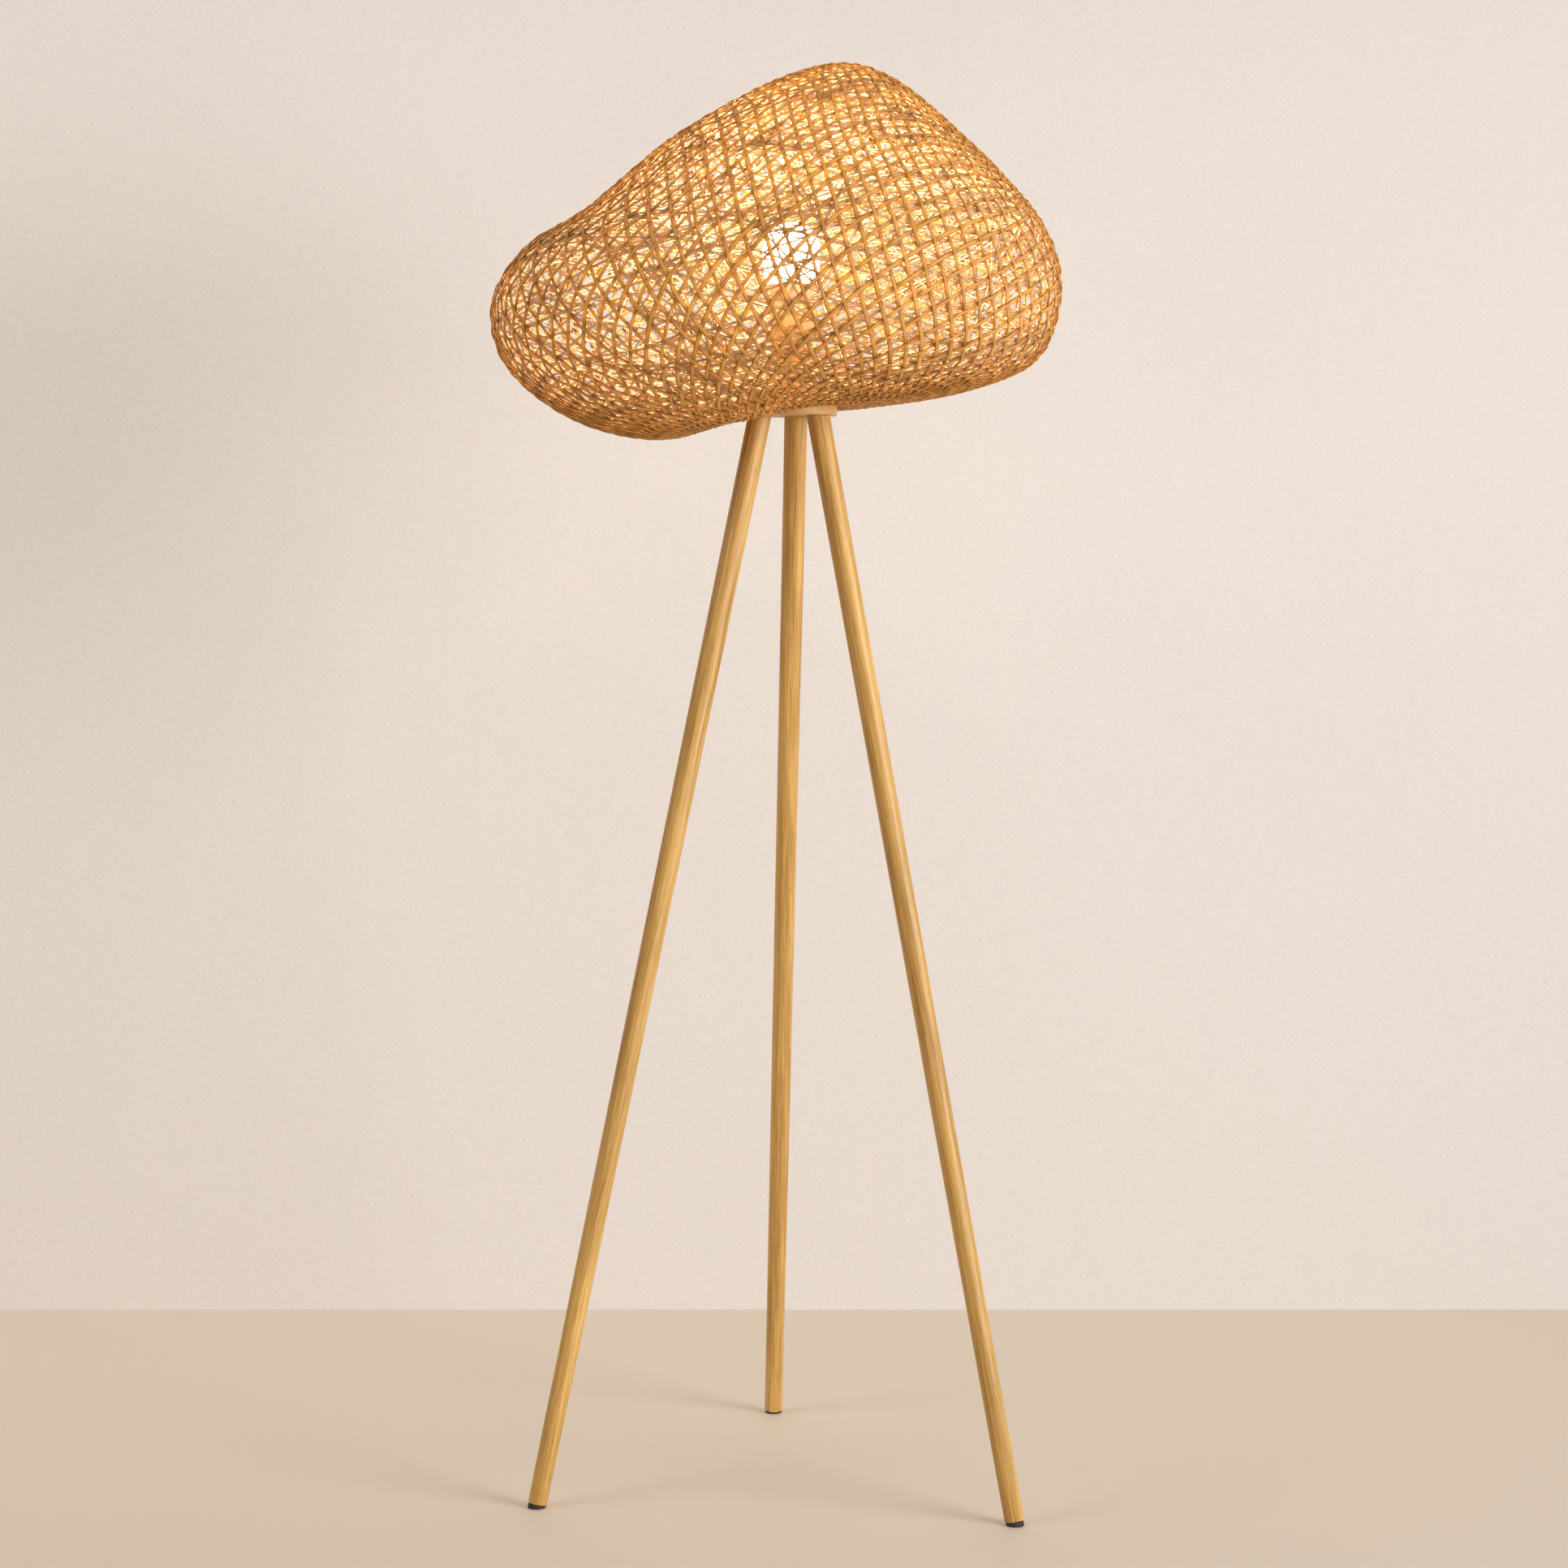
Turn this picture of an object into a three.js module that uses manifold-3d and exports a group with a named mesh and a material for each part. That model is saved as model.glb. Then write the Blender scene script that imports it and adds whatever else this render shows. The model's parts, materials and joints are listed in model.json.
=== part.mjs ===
// A floor lamp: a free-form shade woven from rattan in two layers, on a tripod of tapered wooden legs.
// Millimetres and degrees. +X is the lamp's right as seen from the front, +Y its back, +Z up.
// The hub's axis is the line that every piece is placed from. The finished lamp is then moved so
// that the origin is the middle of its outer box on the floor.

import * as THREE from "three";
import { mergeVertices } from "three/addons/utils/BufferGeometryUtils.js";
import Module from "manifold-3d";

const wasm = await Module();
wasm.setup();

// Clearance between pieces that touch, how far a cut runs past what it cuts, and the facets of round pieces
const fit = 0.3;
const overrun = 3;
const coarseFacets = 12;
const roundFacets = 20;
const fineFacets = 36;

// Hub: a turned disc with a boss on top, and a counterbore below for the nut
const hubUnderside = 1134;
const hubRadius = 48;
const hubThickness = 16;
const hubEdge = 1.5;
const bossRadius = 32;
const bossHeight = 12;
const counterboreRadius = 14;
const counterboreDepth = 9;

// Legs: where each starts on the hub and where its axis meets the floor
const seatCircleRadius = 35.5;
const footCircleRadius = 286;
const legTopRadius = 12.2;
const legFootRadius = 10;
const legEdge = 1;
const legs = [
  { name: "rear", seatAzimuth: 82, footAzimuth: 94 },
  { name: "left", seatAzimuth: 202, footAzimuth: 202 },
  { name: "right", seatAzimuth: 322, footAzimuth: 323 },
];

// Foot pads: flat on the floor below, square to the leg above
const padHeight = 4;
const padInset = 0.8;

// Leg joints: a stud in the leg screws into a bush in the hub
const studRadius = 4;
const studDepthInLeg = 38;
const bushRadius = 6;
const bushLength = 10;
const bushRecess = 1.5;
const boreEndRoom = 2;

// Stem: the threaded tube that carries the lamp holder
const stemRadius = 5;
const stemBoreRadius = 4;
const stemBelowNut = 1;
const nutAcrossFlats = 17;
const nutThickness = 3.5;
const washerRadius = 9;
const washerThickness = 1.5;
const sleeveRadius = 10;
const sleeveLength = 28;

// Outlet bush in the stem's lower end, where a cord would leave
const outletFlange = 1.2;
const outletSleeve = 6;
const outletHoleRadius = 3.1;

// Lamp holder
const holderRadius = 22.5;
const holderWall = 2.2;
const holderNeckRadius = 12;
const holderCapHeight = 22;
const holderCapFlare = 12;
const holderBodyHeight = 40;
const ledgeWidth = 3;
const ledgeThickness = 3;
const ceramicThickness = 10;
const screwShellWall = 0.6;
const screwShellHeight = 23;
const contactRadius = 4;
const contactThickness = 1.5;
const terminalSpacing = 24;
const terminalShankRadius = 1.6;
const terminalShankLength = 6;
const terminalHeadRadius = 3;
const terminalHeadHeight = 2.4;

// Bulb with an opal dome, a tapered housing and a screw cap
const screwCapRadius = 13.1;
const screwCapHeight = 21;
const screwCapWall = 1;
const screwCapTaperShare = 1 / 3;
const tipRadius = 5;
const tipHeight = 2.2;
const housingNeckRadius = 15;
const housingHeight = 19;
const housingFlareShare = 1 / 3;
const domeRadius = 30;
const domeNeckRadius = 26;
const domeHeight = 64;
const domeWall = 1.2;
const domeBarrelSteps = 3;
const domeTopSteps = 5;
const boardRadius = 21;
const boardThickness = 1.6;
const ledCount = 8;
const ledCircleRadius = 14;
const ledWidth = 3;
const ledHeight = 1;

// Gallery: the collar on the boss, and three arms out to the mouth hoop
const collarWall = 4;
const collarHeight = 8;
const collarPlay = 0.4;
const armCount = 3;
const armAzimuth = 60;
const armWidth = 8;
const armThickness = 3;
const armRise = 2;
const setScrewRadius = 1.8;
const setScrewHeadRadius = 3.8;
const setScrewHeadLength = 6;
const setScrewNeck = 1.5;

// Mouth hoop that the weave ends on
const hoopRadius = 58;
const hoopTubeRadius = 3;
const hoopAboveUnderside = 12;
const hoopTubeFacets = 6;
const mouthLip = 9;

// Shade: reach from the hub's axis to each side, rise of the crown above the hoop, and the crown's lean
const rightReach = 279;
const leftReach = 314;
const frontReach = 238;
const backReach = 246;
const crownRise = 354;
const crownLean = 59;
const valleyDepth = 16;
const valleyAzimuth = 268;
const valleyWidth = 24;

// Shade profile, level by level from the crown down to the mouth, as shares of the sizes above
const leanShares = [0.88, 0.58, 0.44, 0.3, 0.12, 0, 0, 0, 0];
const valleyShares = [0, 0, 0, 0, 0.1, 0.45, 0.9, 1, 0.5];
const sides = [
  {
    azimuth: 0,
    reach: rightReach,
    reachShares: [0.204, 0.559, 0.72, 0.871, 0.982, 1, 0.921, 0.663, 0.362],
    riseShares: [0.952, 0.76, 0.655, 0.54, 0.401, 0.254, 0.127, 0.04, 0.003],
  },
  {
    azimuth: 90,
    reach: backReach,
    reachShares: [0.19, 0.53, 0.7, 0.86, 0.97, 1, 0.93, 0.67, 0.39],
    riseShares: [0.96, 0.785, 0.678, 0.554, 0.41, 0.257, 0.124, 0.011, -0.014],
  },
  {
    azimuth: 180,
    reach: leftReach,
    reachShares: [0.182, 0.494, 0.624, 0.755, 0.911, 1, 0.959, 0.707, 0.379],
    riseShares: [0.963, 0.788, 0.678, 0.562, 0.458, 0.297, 0.119, -0.056, -0.099],
  },
  {
    azimuth: 270,
    reach: frontReach,
    reachShares: [0.19, 0.54, 0.71, 0.85, 0.96, 1, 0.93, 0.66, 0.4],
    riseShares: [0.963, 0.788, 0.684, 0.562, 0.424, 0.274, 0.136, 0.023, -0.011],
  },
];

// Weave: an open net of flat strands outside, and a thinner one with wider strands inside it
const strandWidth = 6;
const outerWeaveThickness = 2.4;
const innerWeaveThickness = 2;
const layerGap = 1.6;
const crownCells = 10;
const sideRows = 14;
const crownShare = 0.25;
const stepsPerLevel = 6;
const innerGores = 8;
const firstSeamAzimuth = 22.5;
const innerInsetShare = 0.3;

// Finishes
const finishes = {
  wood: { color: 0xd9a55f, roughness: 0.55, metalness: 0 },
  outerRattan: { color: 0xd7964a, roughness: 0.6, metalness: 0 },
  innerRattan: { color: 0xe6bb7c, roughness: 0.7, metalness: 0 },
  hoopRattan: { color: 0xb87c3c, roughness: 0.6, metalness: 0 },
  pad: { color: 0x2b241f, roughness: 0.9, metalness: 0 },
  steel: { color: 0xb9bcc0, roughness: 0.35, metalness: 1 },
  brass: { color: 0xc9a552, roughness: 0.3, metalness: 1 },
  ceramic: { color: 0xf2efe8, roughness: 0.4, metalness: 0 },
  holder: { color: 0xe9e3d6, roughness: 0.5, metalness: 0 },
  opal: { color: 0xfff3da, roughness: 0.3, metalness: 0 },
  board: { color: 0xf4f1ea, roughness: 0.5, metalness: 0 },
};

// Heights worked out from the sizes above
const hubTop = hubUnderside + hubThickness;
const bossTop = hubTop + bossHeight;
const counterboreCeiling = hubUnderside + counterboreDepth;
const washerLow = counterboreCeiling - fit - washerThickness;
const nutLow = washerLow - fit - nutThickness;
const stemLow = nutLow - stemBelowNut;
const sleeveLow = bossTop + fit;
const capLow = sleeveLow + sleeveLength + fit;
const capFloor = capLow + holderWall;
const lockNutLow = capFloor + fit;
const stemHigh = lockNutLow + nutThickness + stemBelowNut;
const bodyLow = capLow + holderCapHeight + fit;
const ceramicLow = bodyLow + ledgeThickness + fit;
const ceramicHigh = ceramicLow + ceramicThickness;
const contactHigh = ceramicHigh + fit + contactThickness;
const tipLow = contactHigh + fit;
const screwCapLow = tipLow + tipHeight + fit;
const screwCapHigh = screwCapLow + screwCapHeight;
const housingLow = screwCapHigh + fit;
const housingHigh = housingLow + housingHeight;
const domeLow = housingHigh + fit;
const hoopHeight = hubUnderside + hoopAboveUnderside;
const collarLow = hubTop + fit;
const collarInnerRadius = bossRadius + collarPlay;
const collarOuterRadius = collarInnerRadius + collarWall;

const quarterTurn = Math.PI / 2;
const fullTurn = 2 * Math.PI;
const up = new THREE.Vector3(0, 0, 1);
const radians = THREE.MathUtils.degToRad;

const lamp = new THREE.Group();

// Makers of plain shapes

function revolve(outline, facets) {
  const points = outline.map(([radius, height]) => new THREE.Vector2(radius, height));
  return new THREE.LatheGeometry(points, facets).rotateX(quarterTurn);
}

function bar(radius, low, high, facets) {
  return revolve([[0, low], [radius, low], [radius, high], [0, high]], facets);
}

function ring(innerRadius, outerRadius, low, high, facets) {
  const outline = [[innerRadius, low], [outerRadius, low], [outerRadius, high], [innerRadius, high]];
  return revolve([...outline, outline[0]], facets);
}

function hexNut(boreRadius, low) {
  const cornerRadius = nutAcrossFlats / Math.sqrt(3);
  const shape = new THREE.Shape();
  for (let corner = 0; corner < 6; corner += 1) {
    const angle = (corner / 6) * fullTurn;
    const place = [cornerRadius * Math.cos(angle), cornerRadius * Math.sin(angle)];
    if (corner === 0) {
      shape.moveTo(...place);
    } else {
      shape.lineTo(...place);
    }
  }
  shape.closePath();
  shape.holes.push(new THREE.Path().absarc(0, 0, boreRadius, 0, fullTurn, true));
  const settings = { depth: nutThickness, bevelEnabled: false, curveSegments: coarseFacets };
  return new THREE.ExtrudeGeometry(shape, settings).translate(0, 0, low);
}

// Solids for cutting and joining

function toSolid(geometry) {
  const bare = geometry.clone();
  bare.deleteAttribute("normal");
  bare.deleteAttribute("uv");
  const merged = mergeVertices(bare);
  const corners = merged.index.array;
  const kept = [];
  for (let start = 0; start < corners.length; start += 3) {
    const [a, b, c] = corners.slice(start, start + 3);
    if (a !== b && b !== c && c !== a) {
      kept.push(a, b, c);
    }
  }
  const vertProperties = merged.attributes.position.array;
  return new wasm.Manifold(new wasm.Mesh({ numProp: 3, vertProperties, triVerts: new Uint32Array(kept) }));
}

function toGeometry(solid) {
  const { vertProperties, triVerts } = solid.getMesh();
  const geometry = new THREE.BufferGeometry();
  geometry.setAttribute("position", new THREE.BufferAttribute(vertProperties, 3));
  geometry.setIndex(new THREE.BufferAttribute(triVerts, 1));
  geometry.computeVertexNormals();
  return geometry;
}

function cut(geometry, ...tools) {
  return toGeometry(tools.reduce((solid, tool) => solid.subtract(toSolid(tool)), toSolid(geometry)));
}

function join(geometry, ...others) {
  return toGeometry(others.reduce((solid, other) => solid.add(toSolid(other)), toSolid(geometry)));
}

function addPiece(name, geometry, finish, parent = lamp) {
  const mesh = new THREE.Mesh(geometry, new THREE.MeshStandardMaterial(finishes[finish]));
  mesh.name = name;
  parent.add(mesh);
  return mesh;
}

function onCircle(radius, azimuth, height) {
  const angle = radians(azimuth);
  return new THREE.Vector3(radius * Math.cos(angle), radius * Math.sin(angle), height);
}

// Legs: each has a frame with its origin on the hub's underside and its Z axis up along the leg

function legFrame({ seatAzimuth, footAzimuth }) {
  const seat = onCircle(seatCircleRadius, seatAzimuth, hubUnderside);
  const foot = onCircle(footCircleRadius, footAzimuth, 0);
  const along = seat.clone().sub(foot);
  const span = along.length();
  const frame = new THREE.Group();
  frame.position.copy(seat);
  frame.quaternion.setFromUnitVectors(up, along.normalize());
  frame.updateMatrix();
  const length = span - padHeight / along.z;
  return { frame, span, length };
}

// A block with one level face, seen from the leg's own tilted frame, that trims an end level
function levelBlock(frame, side, place, sign) {
  const block = new THREE.BoxGeometry(side, side, side).translate(0, 0, (sign * side) / 2);
  return block.applyQuaternion(frame.quaternion.clone().invert()).translate(0, 0, place);
}

function makeLeg(frame, length) {
  const outline = [
    [0, -length],
    [legFootRadius - legEdge, -length],
    [legFootRadius, legEdge - length],
    [legTopRadius, legTopRadius],
    [0, legTopRadius],
  ];
  const bore = bar(studRadius + fit, -studDepthInLeg - boreEndRoom, legTopRadius + overrun, coarseFacets);
  const underHub = levelBlock(frame, 4 * legTopRadius, -fit, 1);
  return cut(revolve(outline, roundFacets), bore, underHub);
}

function makePad(frame, length, span) {
  const radius = legFootRadius - padInset;
  const body = bar(radius, -span - radius, -length - fit, roundFacets);
  return cut(body, levelBlock(frame, 4 * radius, -span, -1));
}

function makeLegs() {
  const bores = [];
  const boreTop = bushRecess + bushLength + boreEndRoom;
  for (const leg of legs) {
    const { frame, span, length } = legFrame(leg);
    lamp.add(frame);
    addPiece(`leg_${leg.name}`, makeLeg(frame, length), "wood", frame);
    addPiece(`foot_pad_${leg.name}`, makePad(frame, length, span), "pad", frame);
    const stud = bar(studRadius, -studDepthInLeg, bushRecess + bushLength, coarseFacets);
    addPiece(`leg_stud_${leg.name}`, stud, "steel", frame);
    const bush = ring(studRadius + fit, bushRadius, bushRecess, bushRecess + bushLength, coarseFacets);
    addPiece(`hub_bush_${leg.name}`, bush, "brass", frame);
    const bore = bar(bushRadius + fit, -bushRadius, boreTop, coarseFacets);
    bores.push(bore.applyMatrix4(frame.matrix));
  }
  return bores;
}

function makeHub(legBores) {
  const outline = [
    [0, hubUnderside],
    [hubRadius - hubEdge, hubUnderside],
    [hubRadius, hubUnderside + hubEdge],
    [hubRadius, hubTop - hubEdge],
    [hubRadius - hubEdge, hubTop],
    [bossRadius, hubTop],
    [bossRadius, bossTop - hubEdge],
    [bossRadius - hubEdge, bossTop],
    [0, bossTop],
  ];
  const counterbore = bar(counterboreRadius, hubUnderside - overrun, counterboreCeiling, roundFacets);
  const stemBore = bar(stemRadius + fit, hubUnderside, bossTop + overrun, coarseFacets);
  return cut(revolve(outline, fineFacets), counterbore, stemBore, ...legBores);
}

// Stem and what is screwed on it

function makeOutletBush() {
  const sleeveOuter = stemBoreRadius - fit;
  const flangeHigh = stemLow - fit;
  const outline = [
    [outletHoleRadius, flangeHigh - outletFlange],
    [stemRadius, flangeHigh - outletFlange],
    [stemRadius, flangeHigh],
    [sleeveOuter, flangeHigh],
    [sleeveOuter, stemLow + outletSleeve],
    [outletHoleRadius, stemLow + outletSleeve],
  ];
  return revolve([...outline, outline[0]], coarseFacets);
}

function makeStem() {
  const boreOfNuts = stemRadius + fit;
  addPiece("stem_tube", ring(stemBoreRadius, stemRadius, stemLow, stemHigh, coarseFacets), "steel");
  addPiece("stem_nut", hexNut(boreOfNuts, nutLow), "steel");
  const washer = ring(boreOfNuts, washerRadius, washerLow, washerLow + washerThickness, coarseFacets);
  addPiece("stem_washer", washer, "steel");
  const sleeve = ring(boreOfNuts, sleeveRadius, sleeveLow, sleeveLow + sleeveLength, roundFacets);
  addPiece("stem_sleeve", sleeve, "holder");
  addPiece("holder_lock_nut", hexNut(boreOfNuts, lockNutLow), "steel");
  addPiece("cord_outlet_bush", makeOutletBush(), "pad");
}

// Lamp holder

function makeHolderCap() {
  const innerNeck = holderNeckRadius - holderWall;
  const innerRadius = holderRadius - holderWall;
  const flareHigh = capLow + holderCapFlare;
  const capHigh = capLow + holderCapHeight;
  const outline = [
    [stemRadius + fit, capLow],
    [holderNeckRadius, capLow],
    [holderRadius, flareHigh],
    [holderRadius, capHigh],
    [innerRadius, capHigh],
    [innerRadius, flareHigh + holderWall],
    [innerNeck, capFloor],
    [stemRadius + fit, capFloor],
  ];
  return revolve([...outline, outline[0]], roundFacets);
}

function makeHolderBody() {
  const innerRadius = holderRadius - holderWall;
  const bodyHigh = bodyLow + holderBodyHeight;
  const outline = [
    [innerRadius - ledgeWidth, bodyLow],
    [holderRadius, bodyLow],
    [holderRadius, bodyHigh],
    [innerRadius, bodyHigh],
    [innerRadius, bodyLow + ledgeThickness],
    [innerRadius - ledgeWidth, bodyLow + ledgeThickness],
  ];
  return revolve([...outline, outline[0]], roundFacets);
}

function makeTerminals(shankRadius, headRadius) {
  const shankHigh = ceramicLow + terminalShankLength;
  const headHigh = ceramicLow - fit;
  const outline = [
    [0, headHigh - terminalHeadHeight],
    [headRadius, headHigh - terminalHeadHeight],
    [headRadius, headHigh],
    [shankRadius, headHigh],
    [shankRadius, shankHigh],
    [0, shankHigh],
  ];
  const screw = revolve(outline, coarseFacets);
  const places = [-terminalSpacing / 2, terminalSpacing / 2];
  return places.map((place) => screw.clone().translate(place, 0, 0));
}

function makeHolder() {
  addPiece("holder_cap", makeHolderCap(), "holder");
  addPiece("holder_body", makeHolderBody(), "holder");
  const ceramicRadius = holderRadius - holderWall - fit;
  const disc = bar(ceramicRadius, ceramicLow, ceramicHigh, roundFacets);
  const holes = makeTerminals(terminalShankRadius + fit, terminalShankRadius + fit);
  addPiece("ceramic_insert", cut(disc, ...holes), "ceramic");
  const screws = makeTerminals(terminalShankRadius, terminalHeadRadius);
  addPiece("terminal_screw_left", screws[0], "brass");
  addPiece("terminal_screw_right", screws[1], "brass");
  const shellInner = screwCapRadius + fit;
  const shellOuter = shellInner + screwShellWall;
  const shellLow = ceramicHigh + fit;
  const shell = ring(shellInner, shellOuter, shellLow, shellLow + screwShellHeight, roundFacets);
  addPiece("screw_shell", shell, "brass");
  addPiece("centre_contact", bar(contactRadius, shellLow, contactHigh, coarseFacets), "brass");
}

// Bulb

function makeDome() {
  const top = domeLow + domeHeight;
  const inside = domeOutline(domeRadius - domeWall, domeNeckRadius - domeWall, top - domeWall);
  const outside = domeOutline(domeRadius, domeNeckRadius, top);
  return revolve([...inside.reverse(), ...outside], roundFacets);
}

// From the rim up: a barrel that swells from the neck, then a round top
function domeOutline(radius, neck, top) {
  const centre = top - radius;
  const outline = [];
  for (let step = 0; step < domeBarrelSteps; step += 1) {
    const share = step / domeBarrelSteps;
    outline.push([radius - (radius - neck) * (1 - share) ** 2, domeLow + (centre - domeLow) * share]);
  }
  for (let step = 0; step < domeTopSteps; step += 1) {
    const angle = (step / domeTopSteps) * quarterTurn;
    outline.push([radius * Math.cos(angle), centre + radius * Math.sin(angle)]);
  }
  outline.push([0, top]);
  return outline;
}

function makeScrewCap() {
  const inner = screwCapRadius - screwCapWall;
  const taperHigh = screwCapLow + screwCapRadius * screwCapTaperShare;
  const outline = [
    [0, screwCapLow],
    [tipRadius + screwCapWall, screwCapLow],
    [screwCapRadius, taperHigh],
    [screwCapRadius, screwCapHigh],
    [inner, screwCapHigh],
    [inner, taperHigh + screwCapWall],
    [tipRadius, screwCapLow + screwCapWall],
    [0, screwCapLow + screwCapWall],
  ];
  return revolve(outline, roundFacets);
}

function makeHousing() {
  const wide = domeNeckRadius;
  const flareHigh = housingLow + housingHeight * housingFlareShare;
  const outline = [
    [0, housingLow],
    [housingNeckRadius, housingLow],
    [(housingNeckRadius + wide) / 2, flareHigh],
    [wide, housingHigh - domeWall],
    [wide, housingHigh],
    [0, housingHigh],
  ];
  return revolve(outline, roundFacets);
}

function makeBoard() {
  const low = housingHigh + fit;
  const high = low + boardThickness;
  const chips = [];
  for (let chip = 0; chip < ledCount; chip += 1) {
    const block = new THREE.BoxGeometry(ledWidth, ledWidth, ledHeight + boardThickness);
    block.translate(ledCircleRadius, 0, high - (boardThickness - ledHeight) / 2);
    chips.push(block.rotateZ((chip / ledCount) * fullTurn));
  }
  return join(bar(boardRadius, low, high, roundFacets), ...chips);
}

function makeBulb() {
  addPiece("bulb_dome", makeDome(), "opal");
  addPiece("bulb_housing", makeHousing(), "opal");
  addPiece("bulb_screw_cap", makeScrewCap(), "steel");
  addPiece("bulb_tip_contact", bar(tipRadius, tipLow, tipLow + tipHeight, coarseFacets), "brass");
  addPiece("led_board", makeBoard(), "board");
}

// Gallery and hoop

function makeArm(azimuth) {
  const low = collarLow + armRise;
  const high = low + armThickness;
  const tip = hoopRadius - hoopTubeRadius - fit;
  const root = collarOuterRadius - collarWall / 2;
  const outline = [
    [root, low],
    [tip - armThickness, low],
    [tip - armThickness, hoopHeight - hoopTubeRadius],
    [tip, hoopHeight - hoopTubeRadius],
    [tip, high],
    [root, high],
  ];
  const shape = new THREE.Shape(outline.map(([x, y]) => new THREE.Vector2(x, y)));
  const arm = new THREE.ExtrudeGeometry(shape, { depth: armWidth, bevelEnabled: false });
  return arm.translate(0, 0, -armWidth / 2).rotateX(quarterTurn).rotateZ(radians(azimuth));
}

// A round piece on the axis of a set screw, which runs level from the hub's axis through the collar
function onScrewAxis(outline, azimuth) {
  const piece = revolve(outline, coarseFacets).rotateY(quarterTurn).rotateZ(radians(azimuth));
  return piece.translate(0, 0, collarLow + collarHeight / 2);
}

function makeSetScrew(azimuth) {
  const tip = bossRadius + fit;
  const headLow = collarOuterRadius + setScrewNeck;
  const headHigh = headLow + setScrewHeadLength;
  const outline = [
    [0, tip],
    [setScrewRadius, tip],
    [setScrewRadius, headLow],
    [setScrewHeadRadius, headLow],
    [setScrewHeadRadius, headHigh],
    [0, headHigh],
  ];
  return onScrewAxis(outline, azimuth);
}

function makeSetScrewHole(azimuth) {
  const radius = setScrewRadius + fit;
  const end = collarOuterRadius + overrun;
  return onScrewAxis([[0, bossRadius], [radius, bossRadius], [radius, end], [0, end]], azimuth);
}

function makeGallery() {
  const collar = ring(collarInnerRadius, collarOuterRadius, collarLow, collarLow + collarHeight, fineFacets);
  const arms = [];
  const holes = [];
  for (let index = 0; index < armCount; index += 1) {
    const azimuth = armAzimuth + (index * 360) / armCount;
    const screwAzimuth = azimuth + 180 / armCount;
    arms.push(makeArm(azimuth));
    addPiece(`gallery_screw_${index + 1}`, makeSetScrew(screwAzimuth), "steel");
    holes.push(makeSetScrewHole(screwAzimuth));
  }
  addPiece("shade_gallery", cut(join(collar, ...arms), ...holes), "steel");
  const hoop = new THREE.TorusGeometry(hoopRadius, hoopTubeRadius, hoopTubeFacets, fineFacets);
  addPiece("mouth_hoop", hoop.translate(0, 0, hoopHeight), "hoopRattan");
}

// Shade surface

// How much of each of the four sides shows at an azimuth: all of it straight ahead, none a quarter turn away
function sideWeights(azimuth) {
  return sides.map((side) => Math.max(0, Math.cos(radians(azimuth - side.azimuth))) ** 2);
}

// The points that a meridian runs through, from the crown down to the mouth's edge
function meridianPoints(azimuth) {
  const weights = sideWeights(azimuth);
  const turnFromValley = THREE.MathUtils.euclideanModulo(azimuth - valleyAzimuth + 180, 360) - 180;
  const valley = valleyDepth * Math.exp(-((turnFromValley / valleyWidth) ** 2));
  const points = [new THREE.Vector3(crownLean, 0, hoopHeight + crownRise)];
  for (let level = 0; level < leanShares.length; level += 1) {
    let inverseSquare = 0;
    let rise = 0;
    sides.forEach((side, index) => {
      inverseSquare += weights[index] / (side.reach * side.reachShares[level]) ** 2;
      rise += weights[index] * crownRise * side.riseShares[level];
    });
    const reach = 1 / Math.sqrt(inverseSquare) - valley * valleyShares[level];
    const place = onCircle(reach, azimuth, hoopHeight + rise);
    place.x += crownLean * leanShares[level];
    points.push(place);
  }
  const mouthRadius = hoopRadius + hoopTubeRadius + fit;
  const layers = outerWeaveThickness + layerGap + innerWeaveThickness;
  points.push(onCircle(mouthRadius + mouthLip, azimuth, hoopHeight - layers / 2));
  points.push(onCircle(mouthRadius, azimuth, hoopHeight - layers / 2));
  return points;
}

// One span of a cubic through four points, with tangents from the spacing of its neighbours
function spanPoint(before, start, end, after, share) {
  const lead = Math.sqrt(start.distanceTo(before));
  const own = Math.sqrt(end.distanceTo(start));
  const trail = Math.sqrt(after.distanceTo(end));
  const place = new THREE.Vector3();
  for (const axis of ["x", "y", "z"]) {
    const slope = (end[axis] - start[axis]) / own;
    const leadSlope = (start[axis] - before[axis]) / lead;
    const trailSlope = (after[axis] - end[axis]) / trail;
    const startTangent = ((leadSlope * own + slope * lead) / (lead + own)) * own;
    const endTangent = ((slope * trail + trailSlope * own) / (own + trail)) * own;
    const rest = 1 - share;
    place[axis] =
      start[axis] * (1 + 2 * share) * rest ** 2 +
      startTangent * share * rest ** 2 +
      end[axis] * (3 - 2 * share) * share ** 2 -
      endTangent * rest * share ** 2;
  }
  return place;
}

// A meridian as close points with the length run so far
const meridians = new Map();

function meridian(azimuth) {
  const key = azimuth.toFixed(6);
  if (meridians.has(key)) {
    return meridians.get(key);
  }
  const knots = meridianPoints(azimuth);
  const beyondCrown = meridianPoints(azimuth + 180)[1];
  const last = knots.length - 1;
  const beyondMouth = knots[last].clone().multiplyScalar(2).sub(knots[last - 1]);
  const all = [beyondCrown, ...knots, beyondMouth];
  const places = [knots[0]];
  const lengths = [0];
  for (let knot = 1; knot <= last; knot += 1) {
    for (let step = 1; step <= stepsPerLevel; step += 1) {
      const place = spanPoint(...all.slice(knot - 1, knot + 3), step / stepsPerLevel);
      lengths.push(lengths[lengths.length - 1] + place.distanceTo(places[places.length - 1]));
      places.push(place);
    }
  }
  meridians.set(key, { places, lengths });
  return meridians.get(key);
}

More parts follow.
